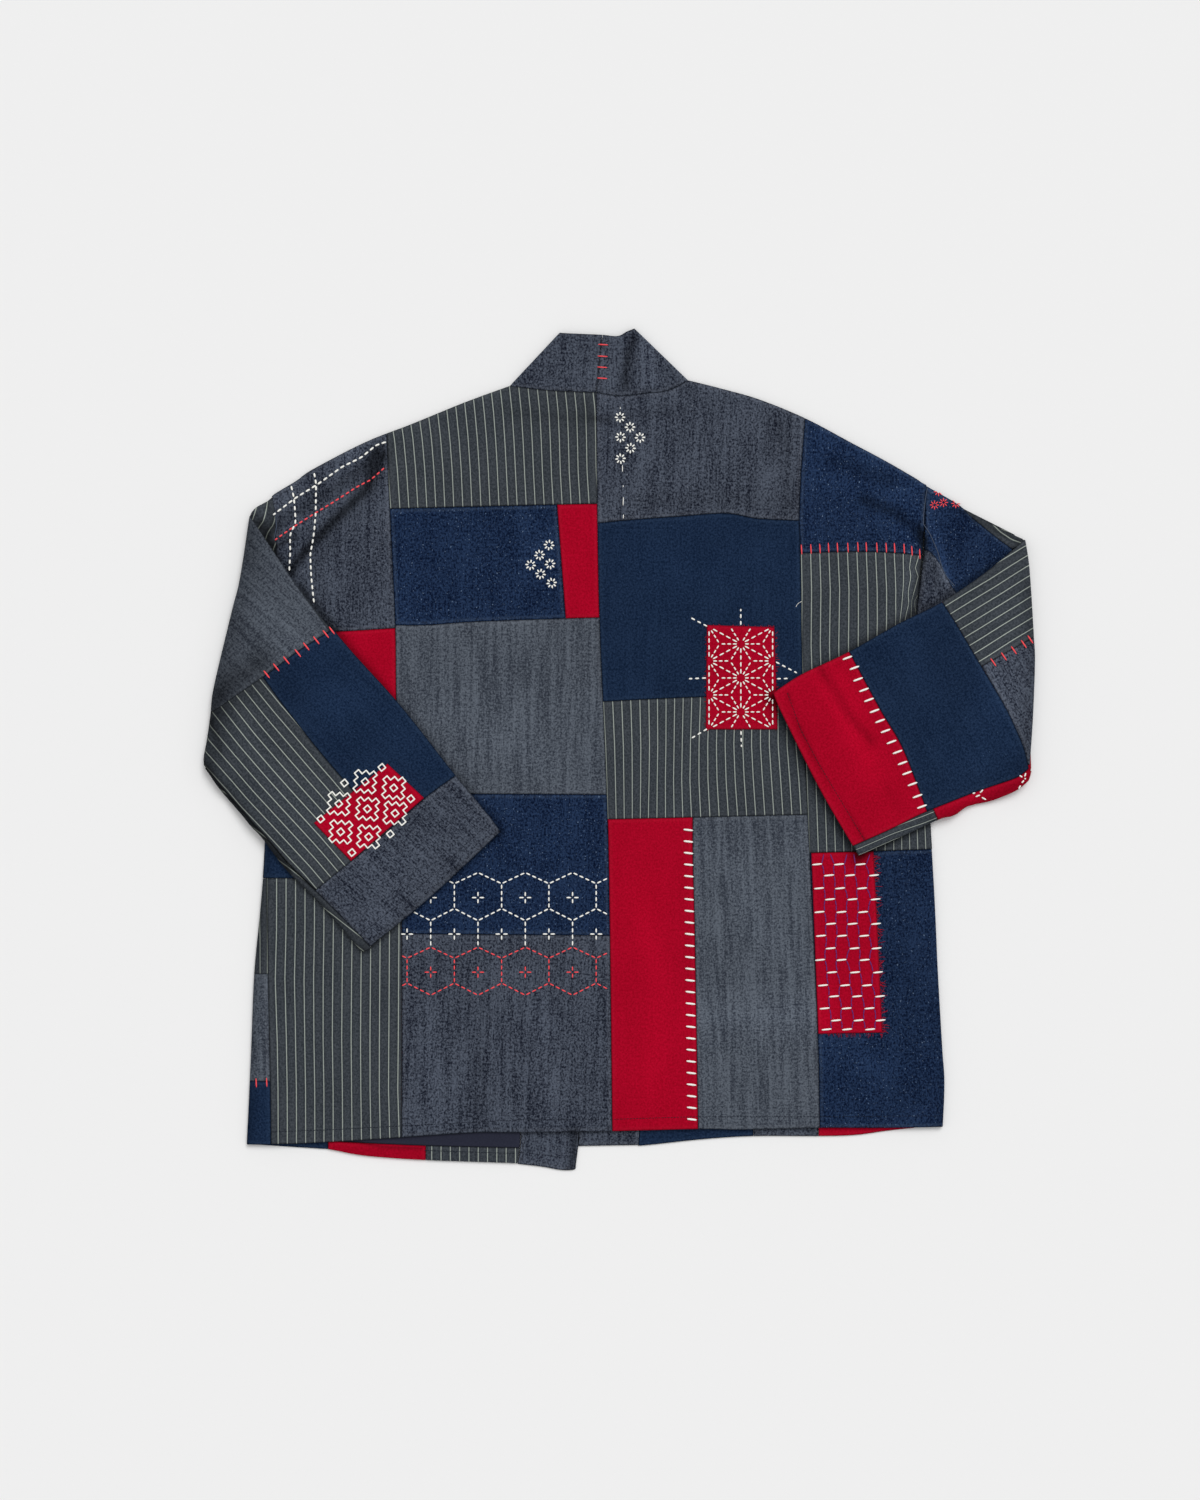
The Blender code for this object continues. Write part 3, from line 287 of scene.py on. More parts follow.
# Stitches, by centres, ends or routes that were measured on the flat lay, in its own units
DAISIES = [
    (620, 417), (630, 427), (620.5, 437), (640, 437.5), (630.5, 448), (620.5, 458.6), (549, 545),
    (539.5, 555), (530.5, 565), (550, 564), (540.5, 574), (551.6, 583),
]
RED_DAISIES = [(934.5, 505), (943.5, 502.5), (956, 503.5), (938.5, 491.5)]
WHITE_LINES = [  # route, stitch and gap
    ([(386, 442), (376, 445), (361, 458), (342, 467), (318, 484), (295.5, 498), (273, 515)], 4.3, 2.1),
    ([(314, 473), (316, 484), (316, 513), (314, 531), (312, 543), (310, 553.5), (311, 576), (313, 596),
      (314, 605)], 4.0, 2.1),
    ([(291, 486), (293.5, 496), (295, 509), (296, 523), (290, 535), (290, 553), (289, 571)], 4.0, 2.3),
]
NAPE_STITCHES = [
    [(620.3, 407.2), (620.3, 408.8)], [(622.5, 464.9), (622.5, 471.7)], [(623.2, 485.2), (623.2, 486.8)],
    [(623.4, 497), (623.1, 505.4)], [(623.5, 514.4), (623.3, 518.4)],
]
RED_LINES = [
    ([(384, 468), (370, 480), (357, 487), (334, 502), (316, 513), (295.5, 526), (275, 540)], 3.5, 2.1),
]

# The rows of hexagons, in the same units
HEX_COLUMNS = range(-1, 5)
HEX_START, HEX_PITCH = 430.6, 47.3  # the middle of a column of hexagons and the way to the next
HEX_TOP, HEX_ROW = 872.7, 74.6  # the top of the white row and the way down to the red one
HEX_SHOULDER, HEX_CENTRE, HEX_WAIST, HEX_FOOT = 11, 25, 36, 48  # down from a hexagon's top
HEX_TAIL = 74  # down from it to the end of the line below its foot
HEX_LOW_CROSS = 61.5  # and to the crosses beside that line
HEX_STITCHES = 4  # to a side
HEX_LEFT, HEX_RIGHT = 401, 608
CROSS_ARMS = [(5.6, 0), (-5.6, 0), (0, 5.2), (0, -5.2)]
CROSS_HOLE = 0.26  # share of an arm that is open at the middle

# The lattice of stars
STAR_SIDE = 34.0
STAR_ROWS = range(-2, 3)
STAR_REACH = 1.5  # how many sides the lattice reaches up and down from its middle
STAR_STITCHES = 4  # to a side
LEAF_STITCHES = 3
STAR_HOLE = 3.0  # millimetres left open round a corner
LEAF_HOLE = 1.0
STAR_STRETCH = 1.08  # across, to its height
STAR_CENTRE = (740.8, 678)
STAR_RAYS = [
    [(740.8, 625), (740.8, 609)], [(707, 626.3), (691, 617.8)], [(706, 678), (689, 678.8)],
    [(707, 729), (690.4, 738.9)], [(741, 731), (741.5, 747)], [(777, 678.8), (792, 678.4)],
    [(776, 662), (797, 673)],
]

# The lattice of bricks
BRICK_BAR = [(-5, -0.2), (5, -1.2)]  # the ends of a bar from its middle
BRICK_NEAR = 14  # how far apart two bars that a link joins may be, across
LINK_OUT, LINK_FROM, LINK_TO = 5.2, 0.2, -1.8  # its ends from the middles of the bars, out and down
LINK_BOW = 0.5
BRICK_ROWS = [  # how far down, and the bars across
    (865, [817, 839, 860.6]), (876, [829, 850, 874]), (889, [819, 840, 862]), (900, [830, 852.4, 875.5]),
    (912.7, [819.4, 841.4, 863]), (924.5, [831, 852.4, 876]), (936.5, [821, 842, 864]),
    (949, [830.6, 854.5, 876.5]), (960.6, [820, 841.4, 864.5]), (973, [832, 855, 878]),
    (986, [823, 845, 867]), (997, [834, 857, 880]), (1009, [824.5, 846.5, 869.4]),
    (1021, [836, 858.6, 880.6]), (1030, [826.5, 847, 870]),
]
BRICK_TOP_LINKS = [
    [(823.7, 854.2), (821.5, 864.5)], [(830.3, 854.2), (834, 863.7)], [(846.9, 854.2), (844.3, 864.5)],
    [(853.8, 854.2), (855.2, 863.7)], [(869.9, 854.2), (866.2, 864.5)],
]

# Other stitches
LOOSE_THREAD = [(796, 607), (797.3, 604.5), (799.5, 602.3), (802, 601.4)]
RIDGE_HIGHLIGHT_COLOUR = (76, 86, 104)
RIDGES = [  # seams that stand up, drawn as cords of a paler colour: a painted highlight
    [(923.2, 524), (926.5, 529), (930.4, 535.2), (937.3, 550.9), (941.9, 567.5), (945.6, 575.9),
     (954.8, 586)],
    [(927.5, 487), (925.5, 500), (924, 512), (923.2, 524)],
    [(275.5, 515), (276.5, 527), (274, 540)],
]
CORD_FORM = np.array([0.8, 1, 1, 1, 1, 1, 0.8])  # blunter than a single stitch
FLOWER_TURN = 40  # degrees
FLOWER_UNIT = 4.95  # millimetres to a step of a flower
FLOWER_QUARTER = [(-1.5, -1.5), (-0.5, -1.5), (-0.5, -2.5), (0.5, -2.5), (0.5, -1.5)]
SQUARE_QUARTER = [(-0.5, -0.5)]
FLOWER_OVERLAP = 0.1  # of a side, past each corner
FLOWERS = [
    (365.6, 781.7), (394.2, 787.9), (339.3, 803.6), (367.9, 808.8), (395.5, 813.2), (341.3, 831.7),
    (369.2, 836.6),
]
LONE_SQUARES = [
    (382.3, 767.4), (344.9, 783), (321.4, 818.8), (411.2, 798.7), (390.6, 833.9), (352.5, 852.3),
]
LONG_RED_BARS = [(688.3 + 3.6 * k / 25, 830 + 11.58 * k) for k in range(26)]
CUFF_BARS = [
    (847, 658), (854, 668), (857.6, 679.5), (863.5, 690), (868.5, 700), (874, 711), (879.6, 721),
    (885, 731), (891, 742), (897, 752), (902, 763), (906.6, 773), (912, 784), (917, 796), (921.4, 806.5),
]
SLEEVE_LEFT_BARS = [
    (267.3, 674.5), (276.8, 667.5), (287, 660.5), (298.6, 653.4), (306.8, 646.6), (316.8, 640.5),
    (326.3, 634.3), (332, 630.5),
]
SLEEVE_RIGHT_BARS = [(992.5, 662.5), (1003, 656.6), (1013, 650.4), (1023, 644.3), (1029.6, 639.6)]
COLUMN_BARS = [
    (801.6, 549.5), (811, 549), (820, 548.7), (828.6, 547.7), (837.5, 547.5), (848, 547.5), (858, 547),
    (866.4, 547), (877, 547.5), (886.3, 547.7), (894.6, 548), (904, 548.7), (911.8, 551), (919.8, 554),
]
COLLAR_BARS = [(603.1, 344.4), (602.6, 356.1), (602.2, 367.1), (602.2, 378.1)]
SIDE_BARS = [(256, 1083), (266.5, 1082.5)]
CROSSES = [  # the strokes of two crosses that come round the sleeve's edge
    [(980, 792.8), (982.9, 789.6)], [(972.6, 793.5), (975.2, 792.8)], [(975.6, 796.8), (980, 795)],
    [(981.8, 797.5), (986.2, 799.7)], [(1018.8, 775.5), (1021.7, 777.1)], [(1023.9, 776.6), (1025, 773)],
    [(1023.6, 778.7), (1025.2, 778.6)], [(1021, 782.9), (1023.2, 780.3)],
    [(1018.1, 788.7), (1019.9, 785.4)],
]
HEM_LINES = [
    [(272, 1132), (330, 1130), (402, 1126)], [(402, 1126), (520, 1120), (612, 1119.5)],
    [(614, 1119.5), (690, 1117), (820, 1117)], [(820, 1117), (941, 1116)], [(519, 1153), (570, 1159)],
    [(424, 1151), (516, 1154)],
]
CUFF_LINES = [
    [(488, 824), (424, 883), (358, 937)], [(787, 693), (800, 729), (818, 763), (864, 840)],
]
FRAYS = [  # from, to, which way, how many, how long
    ((873.2, 855), (882.5, 1033), (1, 0.1), 130, 7.5), ((820, 1034), (884, 1034.5), (0, -1), 34, 4.0),
    ((776, 628), (777, 727), (1, 0.1), 40, 3.4), ((706, 628), (705, 728), (-1, 0.1), 26, 1.8),
    ((708, 625), (775, 626.5), (0, 1), 22, 1.8), ((705, 729), (777, 728), (0, -1), 20, 2.4),
]

# Fabrics: dark, pale and fleck colour, length of a streak, share of the weft, flecks, cloudiness, long
# streaks, half the range of tones, relief
WEAVES = {
    "stripe": ((42, 47, 53), (68, 73, 79), (96, 99, 103), 4.0, 0.4, 0, 0.12, 0.10, 0.13, 0.10),
    "indigo": ((3, 14, 38), (36, 54, 84), (104, 124, 150), 5.0, 0.35, 1.0, 0.16, 0.10, 0.11, 0.14),
    "navy": ((10, 25, 47), (31, 48, 74), (62, 84, 112), 3.0, 0.45, 0.4, 0.14, 0.10, 0.13, 0.08),
    "denim": ((17, 21, 34), (82, 89, 102), (122, 126, 136), 6.0, 0.3, 0.6, 0.14, 0.22, 0.125, 0.14),
    "chambray": ((43, 48, 58), (92, 99, 109), (128, 132, 140), 6.0, 0.5, 0.3, 0.12, 0.30, 0.13, 0.10),
    "red": ((140, 0, 24), (176, 5, 40), (190, 40, 62), 3.0, 0.5, 0, 0.14, 0.06, 0.20, 0.08),
    "lining": ((36, 38, 51), (45, 47, 61), (58, 60, 78), 3.0, 0.5, 0, 0.06, 0.04, 0.25, 0.03),
}

# Grain of the weave in millimetres, along and across, and what its parts add
WARP_GRAIN = 1.4
WEFT_STREAK = 0.8  # length of a streak of the weft to one of the warp
FINE_GRAIN, FINE_SHARE = (1.7, 2.1), 0.6
CLOUD_GRAIN = (30, 42)
SLUB_GRAIN = (4.5, 80)
FLECK_GRAIN, FLECK_SHARE = (1.7, 2.4), 0.8
FLECK_LEVELS, FLECK_SPREAD = (0.76, 0.88), 0.1
TWILL, TWILL_SHARE, WARP_SHARE = (2.2, 2.2), 0.35, 0.9  # shares of the relief
WORN_FROM, WORN_TO, WORN_SHARE = (0.9, 1.6), (2.2, 4.5), 0.08  # the pale rub beside a seam
DITCH, DITCH_SHARE, DITCH_TONE = (0.2, 1.2), 0.5, 0.4  # the dark in a seam
PLY, PLY_GRAIN, PLY_TONE, PLY_DEPTH = (0.5, 1.1), (0.4, 0.5), 0.92, 0.12
CLOTH_ROUGH, THREAD_ROUGH = 0.92, 0.85
SPECULAR, SHEEN, SHEEN_ROUGH = 0.04, 0.02, 0.5

# Stage, in metres
FLOOR_REACH = 6.0
FLOOR_DROP = -0.0003
FLOOR_COLOUR = (0.862, 0.862, 0.862, 1)
ROOM_LIGHT = 0.62  # strengths
WINDOW_LIGHT = 1.55
WINDOW_SIZE = 35  # degrees
WINDOW_FROM = (0.35, 0.75, 1.0)
SENSOR = 36.0
CAMERA_HEIGHT = 2.4  # above the cloth
VIEW_HEIGHT = 1.38  # what the camera takes in, along the longer side of the picture
CAMERA_X = -0.0184  # the middle of the picture
CLOTH_TOP = 0.006  # height of the level that has its true size in the picture


# The flat lay's own units
UNIT = 0.92  # millimetres to a unit
ORIGIN = (620, 750)  # where this frame's origin lies in them


def plan(points):
    """Plan points in millimetres from points measured on the flat lay, in its own units."""
    return (np.array(points, float) - ORIGIN) * (UNIT, -UNIT)


def measured(routes):
    """Routes with plan points, each with its two numbers."""
    return [(plan(route), first, second) for route, first, second in routes]


# Narrow creases, on what shows of the back: route, height, half width
FINE_FOLDS = measured([
    ([(377, 452), (376, 472), (367, 489), (352, 502.5), (335, 517), (319, 536), (307, 549), (296, 561),
      (291, 571)], -1.5, 3.6),
    ([(371, 470), (352, 487), (325, 504), (300, 522), (277, 536)], 1.3, 8.0),
    ([(272, 545), (284, 540.5), (296, 535), (310, 528)], -1.3, 3.0),
    ([(277, 520), (281, 507)], -0.8, 2.5),
    ([(830, 461), (866, 473), (889, 482)], -0.8, 9.0),
    ([(862, 500), (896, 513), (913, 529), (923, 541)], -1.5, 7.0),
    ([(925, 494), (922, 524), (924, 545), (921, 570), (918, 608)], -1.5, 3.0),
    ([(924, 526), (934, 539), (938, 554), (943, 571), (946, 582)], 1.7, 5.0),
    ([(931, 548), (935, 566), (937, 590)], -1.2, 4.0),
    ([(906, 572), (911, 580), (905, 592), (910, 602), (903, 614)], 0.9, 3.4),
    ([(900, 560), (903, 572)], -0.6, 3.0),
    ([(768, 405), (769, 455)], -0.5, 5.0),
    ([(787, 415), (787, 452)], -0.5, 5.0),
    ([(285, 983), (297, 1024)], -0.6, 4.0),
    ([(430, 1010), (436, 1120)], 0.5, 9.0),
    ([(482, 1000), (478, 1125)], -0.5, 8.0),
    ([(540, 1010), (548, 1120)], 0.5, 9.0),
    ([(700, 1021), (760, 1018), (812, 1014)], 0.5, 5.0),
    ([(500, 410), (560, 418), (600, 419), (680, 412)], -0.9, 4.0),
    ([(634, 338), (629, 352), (626, 368), (625, 386)], -1.6, 4.0),
    ([(644, 345), (648, 362), (652, 382)], 1.2, 8.0),
    ([(258, 508), (266, 520), (262, 534)], 1.2, 3.0),
    ([(268, 504), (272, 522), (268, 548)], -1.2, 3.0),
    ([(640, 560), (700, 575), (770, 560)], 0.5, 22.0),
    ([(430, 700), (480, 740), (540, 760)], 0.5, 20.0),
    ([(640, 900), (660, 1000), (650, 1090)], 0.5, 14.0),
    ([(725, 860), (760, 930), (800, 960)], 0.6, 16.0),
    ([(860, 1060), (900, 1075), (935, 1065)], 0.6, 10.0),
])
# The same on the folded sleeves
FINE_SLEEVE_FOLDS = measured([
    ([(819, 670), (834, 700), (856, 727), (871, 740)], -0.7, 3.0),
    ([(887, 785), (902, 814)], -0.5, 3.0),
    ([(784, 692), (797, 729), (814, 763), (861, 839)], -0.5, 2.6),
    ([(975, 640), (1000, 690), (1010, 750)], 0.5, 8.0),
    ([(900, 640), (930, 700), (960, 780)], 0.5, 14.0),
    ([(300, 650), (270, 640), (240, 600)], 0.5, 14.0),
    ([(360, 690), (400, 740), (430, 770)], 0.5, 12.0),
    ([(230, 700), (262, 760), (300, 830)], 0.5, 10.0),
    ([(390, 880), (430, 840), (470, 815)], 0.4, 8.0),
])

# Painted shade where cloth lies deep or turns away, painted shadow beside the sleeves and painted
# highlight on a few ridges; a few entries only darken a piece's own tone: route, tone, half width
BODY_SHADES = measured([
    ([(250, 517), (308, 598), (393, 700), (493, 822), (499, 832)], -0.4, 5.0),
    ([(499, 832), (430, 893), (367, 947)], -0.3, 3.5),
    ([(1026, 546), (948, 596), (851, 651), (771, 698)], -0.45, 5.0),
    ([(771, 698), (801, 759), (858, 858)], -0.5, 8.0),
    ([(858, 858), (900, 838), (938, 820)], -0.5, 3.5),
    ([(263, 850), (255, 971), (249, 1044), (244, 1140)], -0.35, 8.0),
    ([(943, 983), (945, 1054), (946, 1085), (942, 1127)], -0.2, 8.0),
    ([(379, 456), (367, 487), (344, 510), (321, 534), (302, 555), (291, 571)], -0.6, 4.6),
    ([(272, 548), (285, 542.5), (297, 535)], -0.6, 2.6),
    ([(262, 522), (267, 540), (276, 560)], -0.6, 4.0),
    ([(277, 528), (300, 512), (330, 494), (358, 473), (378, 455)], -0.8, 9.5),
    ([(300, 588), (314, 606), (335, 631)], -0.5, 3.0),
    ([(574.3, 1132), (573.8, 1150), (572.2, 1170)], -0.5, 5.0),
    ([(330, 1152), (420, 1158)], -0.12, 7.0),
    ([(830, 530), (836, 545), (832, 560)], -0.12, 6.0),
    ([(922, 524), (925, 529), (930, 536), (936, 547), (940, 560), (947, 585)], 0.4, 1.3),
    ([(919, 526), (923, 543), (925, 556)], -0.35, 3.0),
    ([(960, 510), (996, 530), (1020, 541)], -0.35, 3.0),
    ([(345, 1142.4), (357, 1143), (384, 1147.7), (422, 1149.1)], -0.45, 1.2),
    ([(320, 600), (312, 570), (330, 545)], -0.15, 9.0),
    ([(866, 500), (896, 513), (911, 526), (921, 539)], -0.4, 6.5),
    ([(830, 461), (866, 473), (889, 482)], -0.25, 9.0),
    ([(922, 524), (924, 545), (921, 570), (912, 612)], -0.35, 4.0),
    ([(934, 532), (938, 548), (944, 566), (948, 582)], 0.22, 4.0),
    ([(634, 338), (629, 352), (626, 368), (625, 386)], -0.3, 6.0),
    ([(505, 388), (560, 392), (625, 391), (690, 385)], -0.12, 3.0),
    ([(640, 500), (700, 498), (790, 506)], -0.12, 8.0),
    ([(780, 420), (788, 470), (790, 510)], -0.16, 7.0),
    ([(585, 400), (590, 418), (610, 420)], -0.25, 3.0),
    ([(908, 880), (912, 980), (918, 1090)], -0.14, 24.0),
])
SLEEVE_SHADES = measured([
    ([(249, 518), (223, 650), (204, 762)], -0.42, 17.0),
    ([(205, 767), (244, 815), (297, 880), (363, 950)], -0.35, 7.0),
    ([(363, 950), (430, 893), (499, 832)], -0.2, 3.0),
    ([(1033, 587), (1036, 680), (1030, 767)], -0.3, 9.0),
    ([(1030, 779), (985, 802), (932, 822)], -0.3, 6.0),
    ([(818.6, 667), (836, 690), (850, 715), (872, 742)], -0.24, 4.0),
    ([(262, 560), (276, 620), (296, 680)], -0.2, 30.0),
    ([(812, 668), (836, 712), (868, 760)], 0.08, 5.0),
    ([(787, 693), (800, 729), (818, 763), (864, 840)], -0.3, 1.4),
    ([(248, 600), (262, 650), (230, 700)], -0.2, 18.0),
    ([(212, 706), (240, 680), (260, 664)], -0.26, 13.0),
    ([(206, 769), (225, 793), (244, 816), (266, 841), (290, 870)], -0.5, 2.4),
    ([(212, 722), (217, 735), (221, 750)], -0.25, 3.0),
])
FOLD_FADE_AND_SHADING_SHARE = 0.16  # painted tone a millimetre of fold height brings: shade in troughs, highlight and fading on ridges
# Painted shading by the height of the small ripples, and the limits of all the painted tone
RIPPLE_SHADING_SHARE = 0.1
DARKEST, PALEST = -0.75, 0.3

# Stripes that were measured: the number of a stripe and points along it
STRIPES = {
    "back_yoke_left": [
        (0, [(389.5, 410), (394.5, 440), (397.3, 470), (399.7, 507)]),
        (6, [(446.8, 410), (449.9, 440), (452.1, 470), (453.7, 507)]),
        (14, [(521.1, 410), (523, 440), (524.4, 470), (526.3, 507)]),
        (21, [(585.7, 410), (586.5, 440), (587, 470), (589.3, 507)]),
    ],
    "back_right_stripe": [
        (0, [(603.5, 700), (605.8, 745), (607, 780), (608.2, 820)]),
        (5, [(648.9, 700), (649.6, 745), (649.1, 780), (648.3, 820)]),
        (10, [(691.8, 700), (690.4, 745), (689.9, 780), (691.6, 820)]),
        (15, [(735, 700), (733.9, 745), (735.2, 780), (738, 820)]),
        (22, [(795.5, 700), (796, 745), (799, 780), (801.5, 820)]),
    ],
    "side_left_stripe": [
        (0, [(276.5, 880), (276.3, 930), (275, 980), (277, 1040), (277.8, 1090), (278, 1140)]),
        (6, [(333.3, 880), (333.2, 930), (332.6, 980), (332.1, 1040), (332.9, 1090), (333, 1140)]),
        (13, [(399, 880), (398.8, 930), (398.5, 980), (398.2, 1040), (397.7, 1090), (399.2, 1140)]),
    ],
    "side_right_stripe": [
        (0, [(801.5, 550), (802.3, 590), (802, 645), (804, 700), (807, 770), (809.8, 850)]),
        (4, [(838, 550), (839.8, 590), (838.9, 645), (840, 700), (842, 780), (844, 850)]),
        (7, [(866.4, 550), (867.9, 590), (868.2, 620), (868, 700), (868, 850)]),
        (10, [(894.2, 550), (896.2, 590), (896, 620), (894, 660), (894, 850)]),
        (11, [(903.5, 550), (903.7, 580), (903.5, 590), (900, 620), (902, 850)]),
        (12, [(912, 550), (909.5, 566), (910.7, 577.6), (907.9, 590), (909, 603), (905, 620), (910, 850)]),
        (13, [(920.3, 550), (915.2, 568), (918, 576), (915.5, 586), (911.8, 600), (911, 620), (918, 850)]),
    ],
    "sleeve_left_stripe": [
        (0, [(237, 666), (255.8, 688.9), (274.2, 711.6), (295.3, 736.2), (316.2, 760.9), (332.6, 779.7)]),
        (4, [(212, 694), (230.3, 717.6), (248.7, 741.1), (271.6, 767.9), (294.7, 793.9), (327.3, 829.7)]),
        (8, [(196, 740), (223.2, 770.5), (248.1, 799.2), (273.6, 826.4), (295.9, 850.6), (311, 867)]),
    ],
    "sleeve_right_stripe": [
        (1, [(957.1, 609.6), (970.7, 601.2), (994.8, 586.7), (1015.4, 573.5), (1040, 558)]),
        (4, [(970.1, 634), (977.6, 629.5), (1002.6, 613.9), (1020.9, 602.6), (1045, 587)]),
        (7, [(983.2, 658.7), (984.5, 658), (1010, 641.5), (1026.5, 631.7), (1050, 617)]),
    ],
    "front_left_stripe": [(0, [(431.5, 1100), (431.5, 1170)]), (8, [(506, 1100), (506, 1170)])],
    "front_left_side_stripe": [(0, [(259.8, 860), (259.8, 990)]), (1, [(266.9, 860), (266.9, 990)])],
    "sleeve_left_lower": [(0, [(305, 892), (352.9, 930.3)]), (1, [(299, 899), (347, 937)])],
    "sleeve_right_lower_stripe": [
        (0, [(861.1, 841.2), (892.5, 827.6), (921.7, 816.5)]),
        (1, [(862.8, 846.5), (892.5, 833.5), (924, 822.7)]),
    ],
    "sleeve_left_standing": [
        (0, [(257, 530), (263.5, 521), (265.6, 512), (267.5, 500)]),
        (1, [(266, 537), (268, 531), (274, 524), (276, 508)]),
    ],
    "sleeve_right_standing_stripe": [
        (0, [(976, 524), (992, 540), (1003, 548.5), (1020, 553)]),
        (1, [(985, 516), (1000, 531.5), (1012, 539.5), (1025, 544)]),
    ],
}


def smooth(points, steps=8):
    """A dense polyline on a spline through the points. An array is a polyline already."""
    p = np.array(points, float)
    if isinstance(points, np.ndarray) or len(p) == 2:
        return p
    before = np.vstack([2 * p[0] - p[1], p[:-1]])
    after = np.vstack([p[1:], 2 * p[-1] - p[-2]])
    slope = (after - before) / 2
    t = np.linspace(0, 1, steps, endpoint=False)[:, None]
    weights = 2 * t**3 - 3 * t**2 + 1, t**3 - 2 * t**2 + t, 3 * t**2 - 2 * t**3, t**3 - t**2
    pieces = [
        sum(weight * value for weight, value in zip(weights, ends))
        for ends in zip(p[:-1], slope[:-1], p[1:], slope[1:])
    ]
    return np.vstack(pieces + [p[-1:]])


def lengths(line):
    return np.concatenate([[0], np.cumsum(np.linalg.norm(np.diff(line, axis=0), axis=1))])


def at_length(line, distance):
    """Points of a polyline at these distances from its start."""
    total = lengths(line)
    return np.stack([np.interp(distance, total, line[:, k]) for k in range(2)], -1)


def crossing(a, b):
    """How far along each polyline the two cross."""
    p, r = a[:-1, None], np.diff(a, axis=0)[:, None]
    q, s = b[None, :-1], np.diff(b, axis=0)[None]
    turn = r[..., 0] * s[..., 1] - r[..., 1] * s[..., 0]
    turn = np.where(turn == 0, 1e-9, turn)
    gap = q - p
    t = (gap[..., 0] * s[..., 1] - gap[..., 1] * s[..., 0]) / turn
    w = (gap[..., 0] * r[..., 1] - gap[..., 1] * r[..., 0]) / turn
    i, j = np.argwhere((t >= 0) & (t <= 1) & (w >= 0) & (w <= 1))[0]
    step_a = np.linalg.norm(r[i, 0])
    step_b = np.linalg.norm(s[0, j])
    return lengths(a)[i] + t[i, j] * step_a, lengths(b)[j] + w[i, j] * step_b


def distance_to(line, xy):
    """Distance from each point to a polyline."""
    best = np.full(xy.shape[:-1], np.inf)
    for a, b in zip(line[:-1], line[1:]):
        along = b - a
        t = np.clip(((xy - a) @ along) / max(along @ along, 1e-9), 0, 1)
        best = np.minimum(best, np.linalg.norm(xy - a - t[..., None] * along, axis=-1))
    return best


def signed_side(a, b, xy):
    """Distance to the left of the line from a to b."""
    a, b = np.array(a, float), np.array(b, float)
    along = (b - a) / np.linalg.norm(b - a)
    gap = xy - a
    return along[0] * gap[..., 1] - along[1] * gap[..., 0]


def ease(t):
    t = np.clip(t, 0, 1)
    return t * t * (3 - 2 * t)


def folds(routes, xy):
    """Sum of the soft ridges and troughs at these points."""
    return sum(tall * np.exp(-((distance_to(smooth(route), xy) / wide) ** 2)) for route, tall,
               wide in routes)


def plump(xy):
    """How far the back and the standing parts of the sleeves are lifted, with their folds."""
    x, y = xy[..., 0], xy[..., 1]
    waves = sum(tall * np.sin(x / across + y / up + phase) for tall, across, up, phase in WAVES)
    return PLUMP + waves + folds(BACK_FOLDS, xy)


def meander(run, other, length, bend, bend_length, phase=0):
    """A wave along one way whose crests bend along the other."""
    return np.sin(run / length + bend * np.sin(other / bend_length) + phase)


def ripples(xy, strength=1.0):
    """The small unevenness of worn cloth."""
    x, y = xy[..., 0], xy[..., 1]
    across, up, both = RIPPLES
    wide = across * meander(x, y, 19, 1.3, 41) + up * meander(y, x, 23, 1.1, 37, 1)
    fine = both * meander(x, y, 6.1, 1.7, 13) * meander(y, x, 7.3, 1.4, 17)
    return strength * (wide + fine)


ROLLED_EDGES = [
    smooth(line)
    for line in (SHOULDER_LEFT, SHOULDER_RIGHT, SHOULDER_SLEEVE, SIDE_LEFT[5:], SIDE_RIGHT[7:])
]


def roll(distance, width=ROLL):
    """0 at an edge, 1 once the cloth is level, on a quarter ellipse."""
    near = np.clip(distance / width, 0, 1)
    return np.sqrt(1 - (1 - near) ** 2)


def back_height(xy):
    edge = np.min([distance_to(line, xy) for line in ROLLED_EDGES], axis=0)
    return BACK_LAYER + roll(edge) * (plump(xy) + ripples(xy) + folds(FINE_FOLDS, xy))


def wrapped_height(xy):
    """The back where it is carried round a side and doesn't curve down by itself."""
    return BACK_LAYER + plump(xy) + ripples(xy) + folds(FINE_FOLDS, xy)


def floor_height(xy):
    return np.full(xy.shape[:-1], FLOOR_LAYER)


def turn_up_height(xy):
    return np.full(xy.shape[:-1], TURN_UP_LAYER)


def outside_left(xy):
    """How far a point of the left sleeve lies beyond the body and the standing part of the sleeve."""
    return np.minimum(UNDERARM_LEFT[0] - xy[..., 0], -signed_side(FOLD_LEFT[-1], UNDERARM_LEFT, xy))


def outside_right(xy):
    return np.minimum(xy[..., 0] - UNDERARM_RIGHT[0], -signed_side(UNDERARM_RIGHT, FOLD_RIGHT[-1], xy))


def under_height(xy):
    """The lower wall of a folded sleeve, which drops to the ground past the body."""
    beyond = np.where(xy[..., 0] < 0, outside_left(xy), outside_right(xy))
    drop = ease((beyond - SLEEVE_DROP[0]) / (SLEEVE_DROP[1] - SLEEVE_DROP[0]))
    lift = sum(
        CUFF_LIFT * np.exp(-(((xy - place) / CUFF_LIFT_WIDTH) ** 2).sum(-1)) for place in CUFF_LIFTS
    )
    level = BACK_LAYER + PITCH + SLEEVE_AIR + plump(xy) + lift
    return level + (FLOOR_LAYER - level) * drop


SLEEVE_EDGES = [smooth(SLEEVE_LEFT_TOP), smooth(SLEEVE_RIGHT_TOP)]


def over_height(xy):
    """The upper wall of a folded sleeve."""
    edge = np.min([distance_to(line, xy) for line in SLEEVE_EDGES], axis=0)
    lift = SLEEVE_PLUMP + folds(SLEEVE_FOLDS, xy) + folds(FINE_SLEEVE_FOLDS, xy)
    lift = lift + ripples(xy, SLEEVE_RIPPLES)
    return under_height(xy) + PITCH + roll(edge) * lift


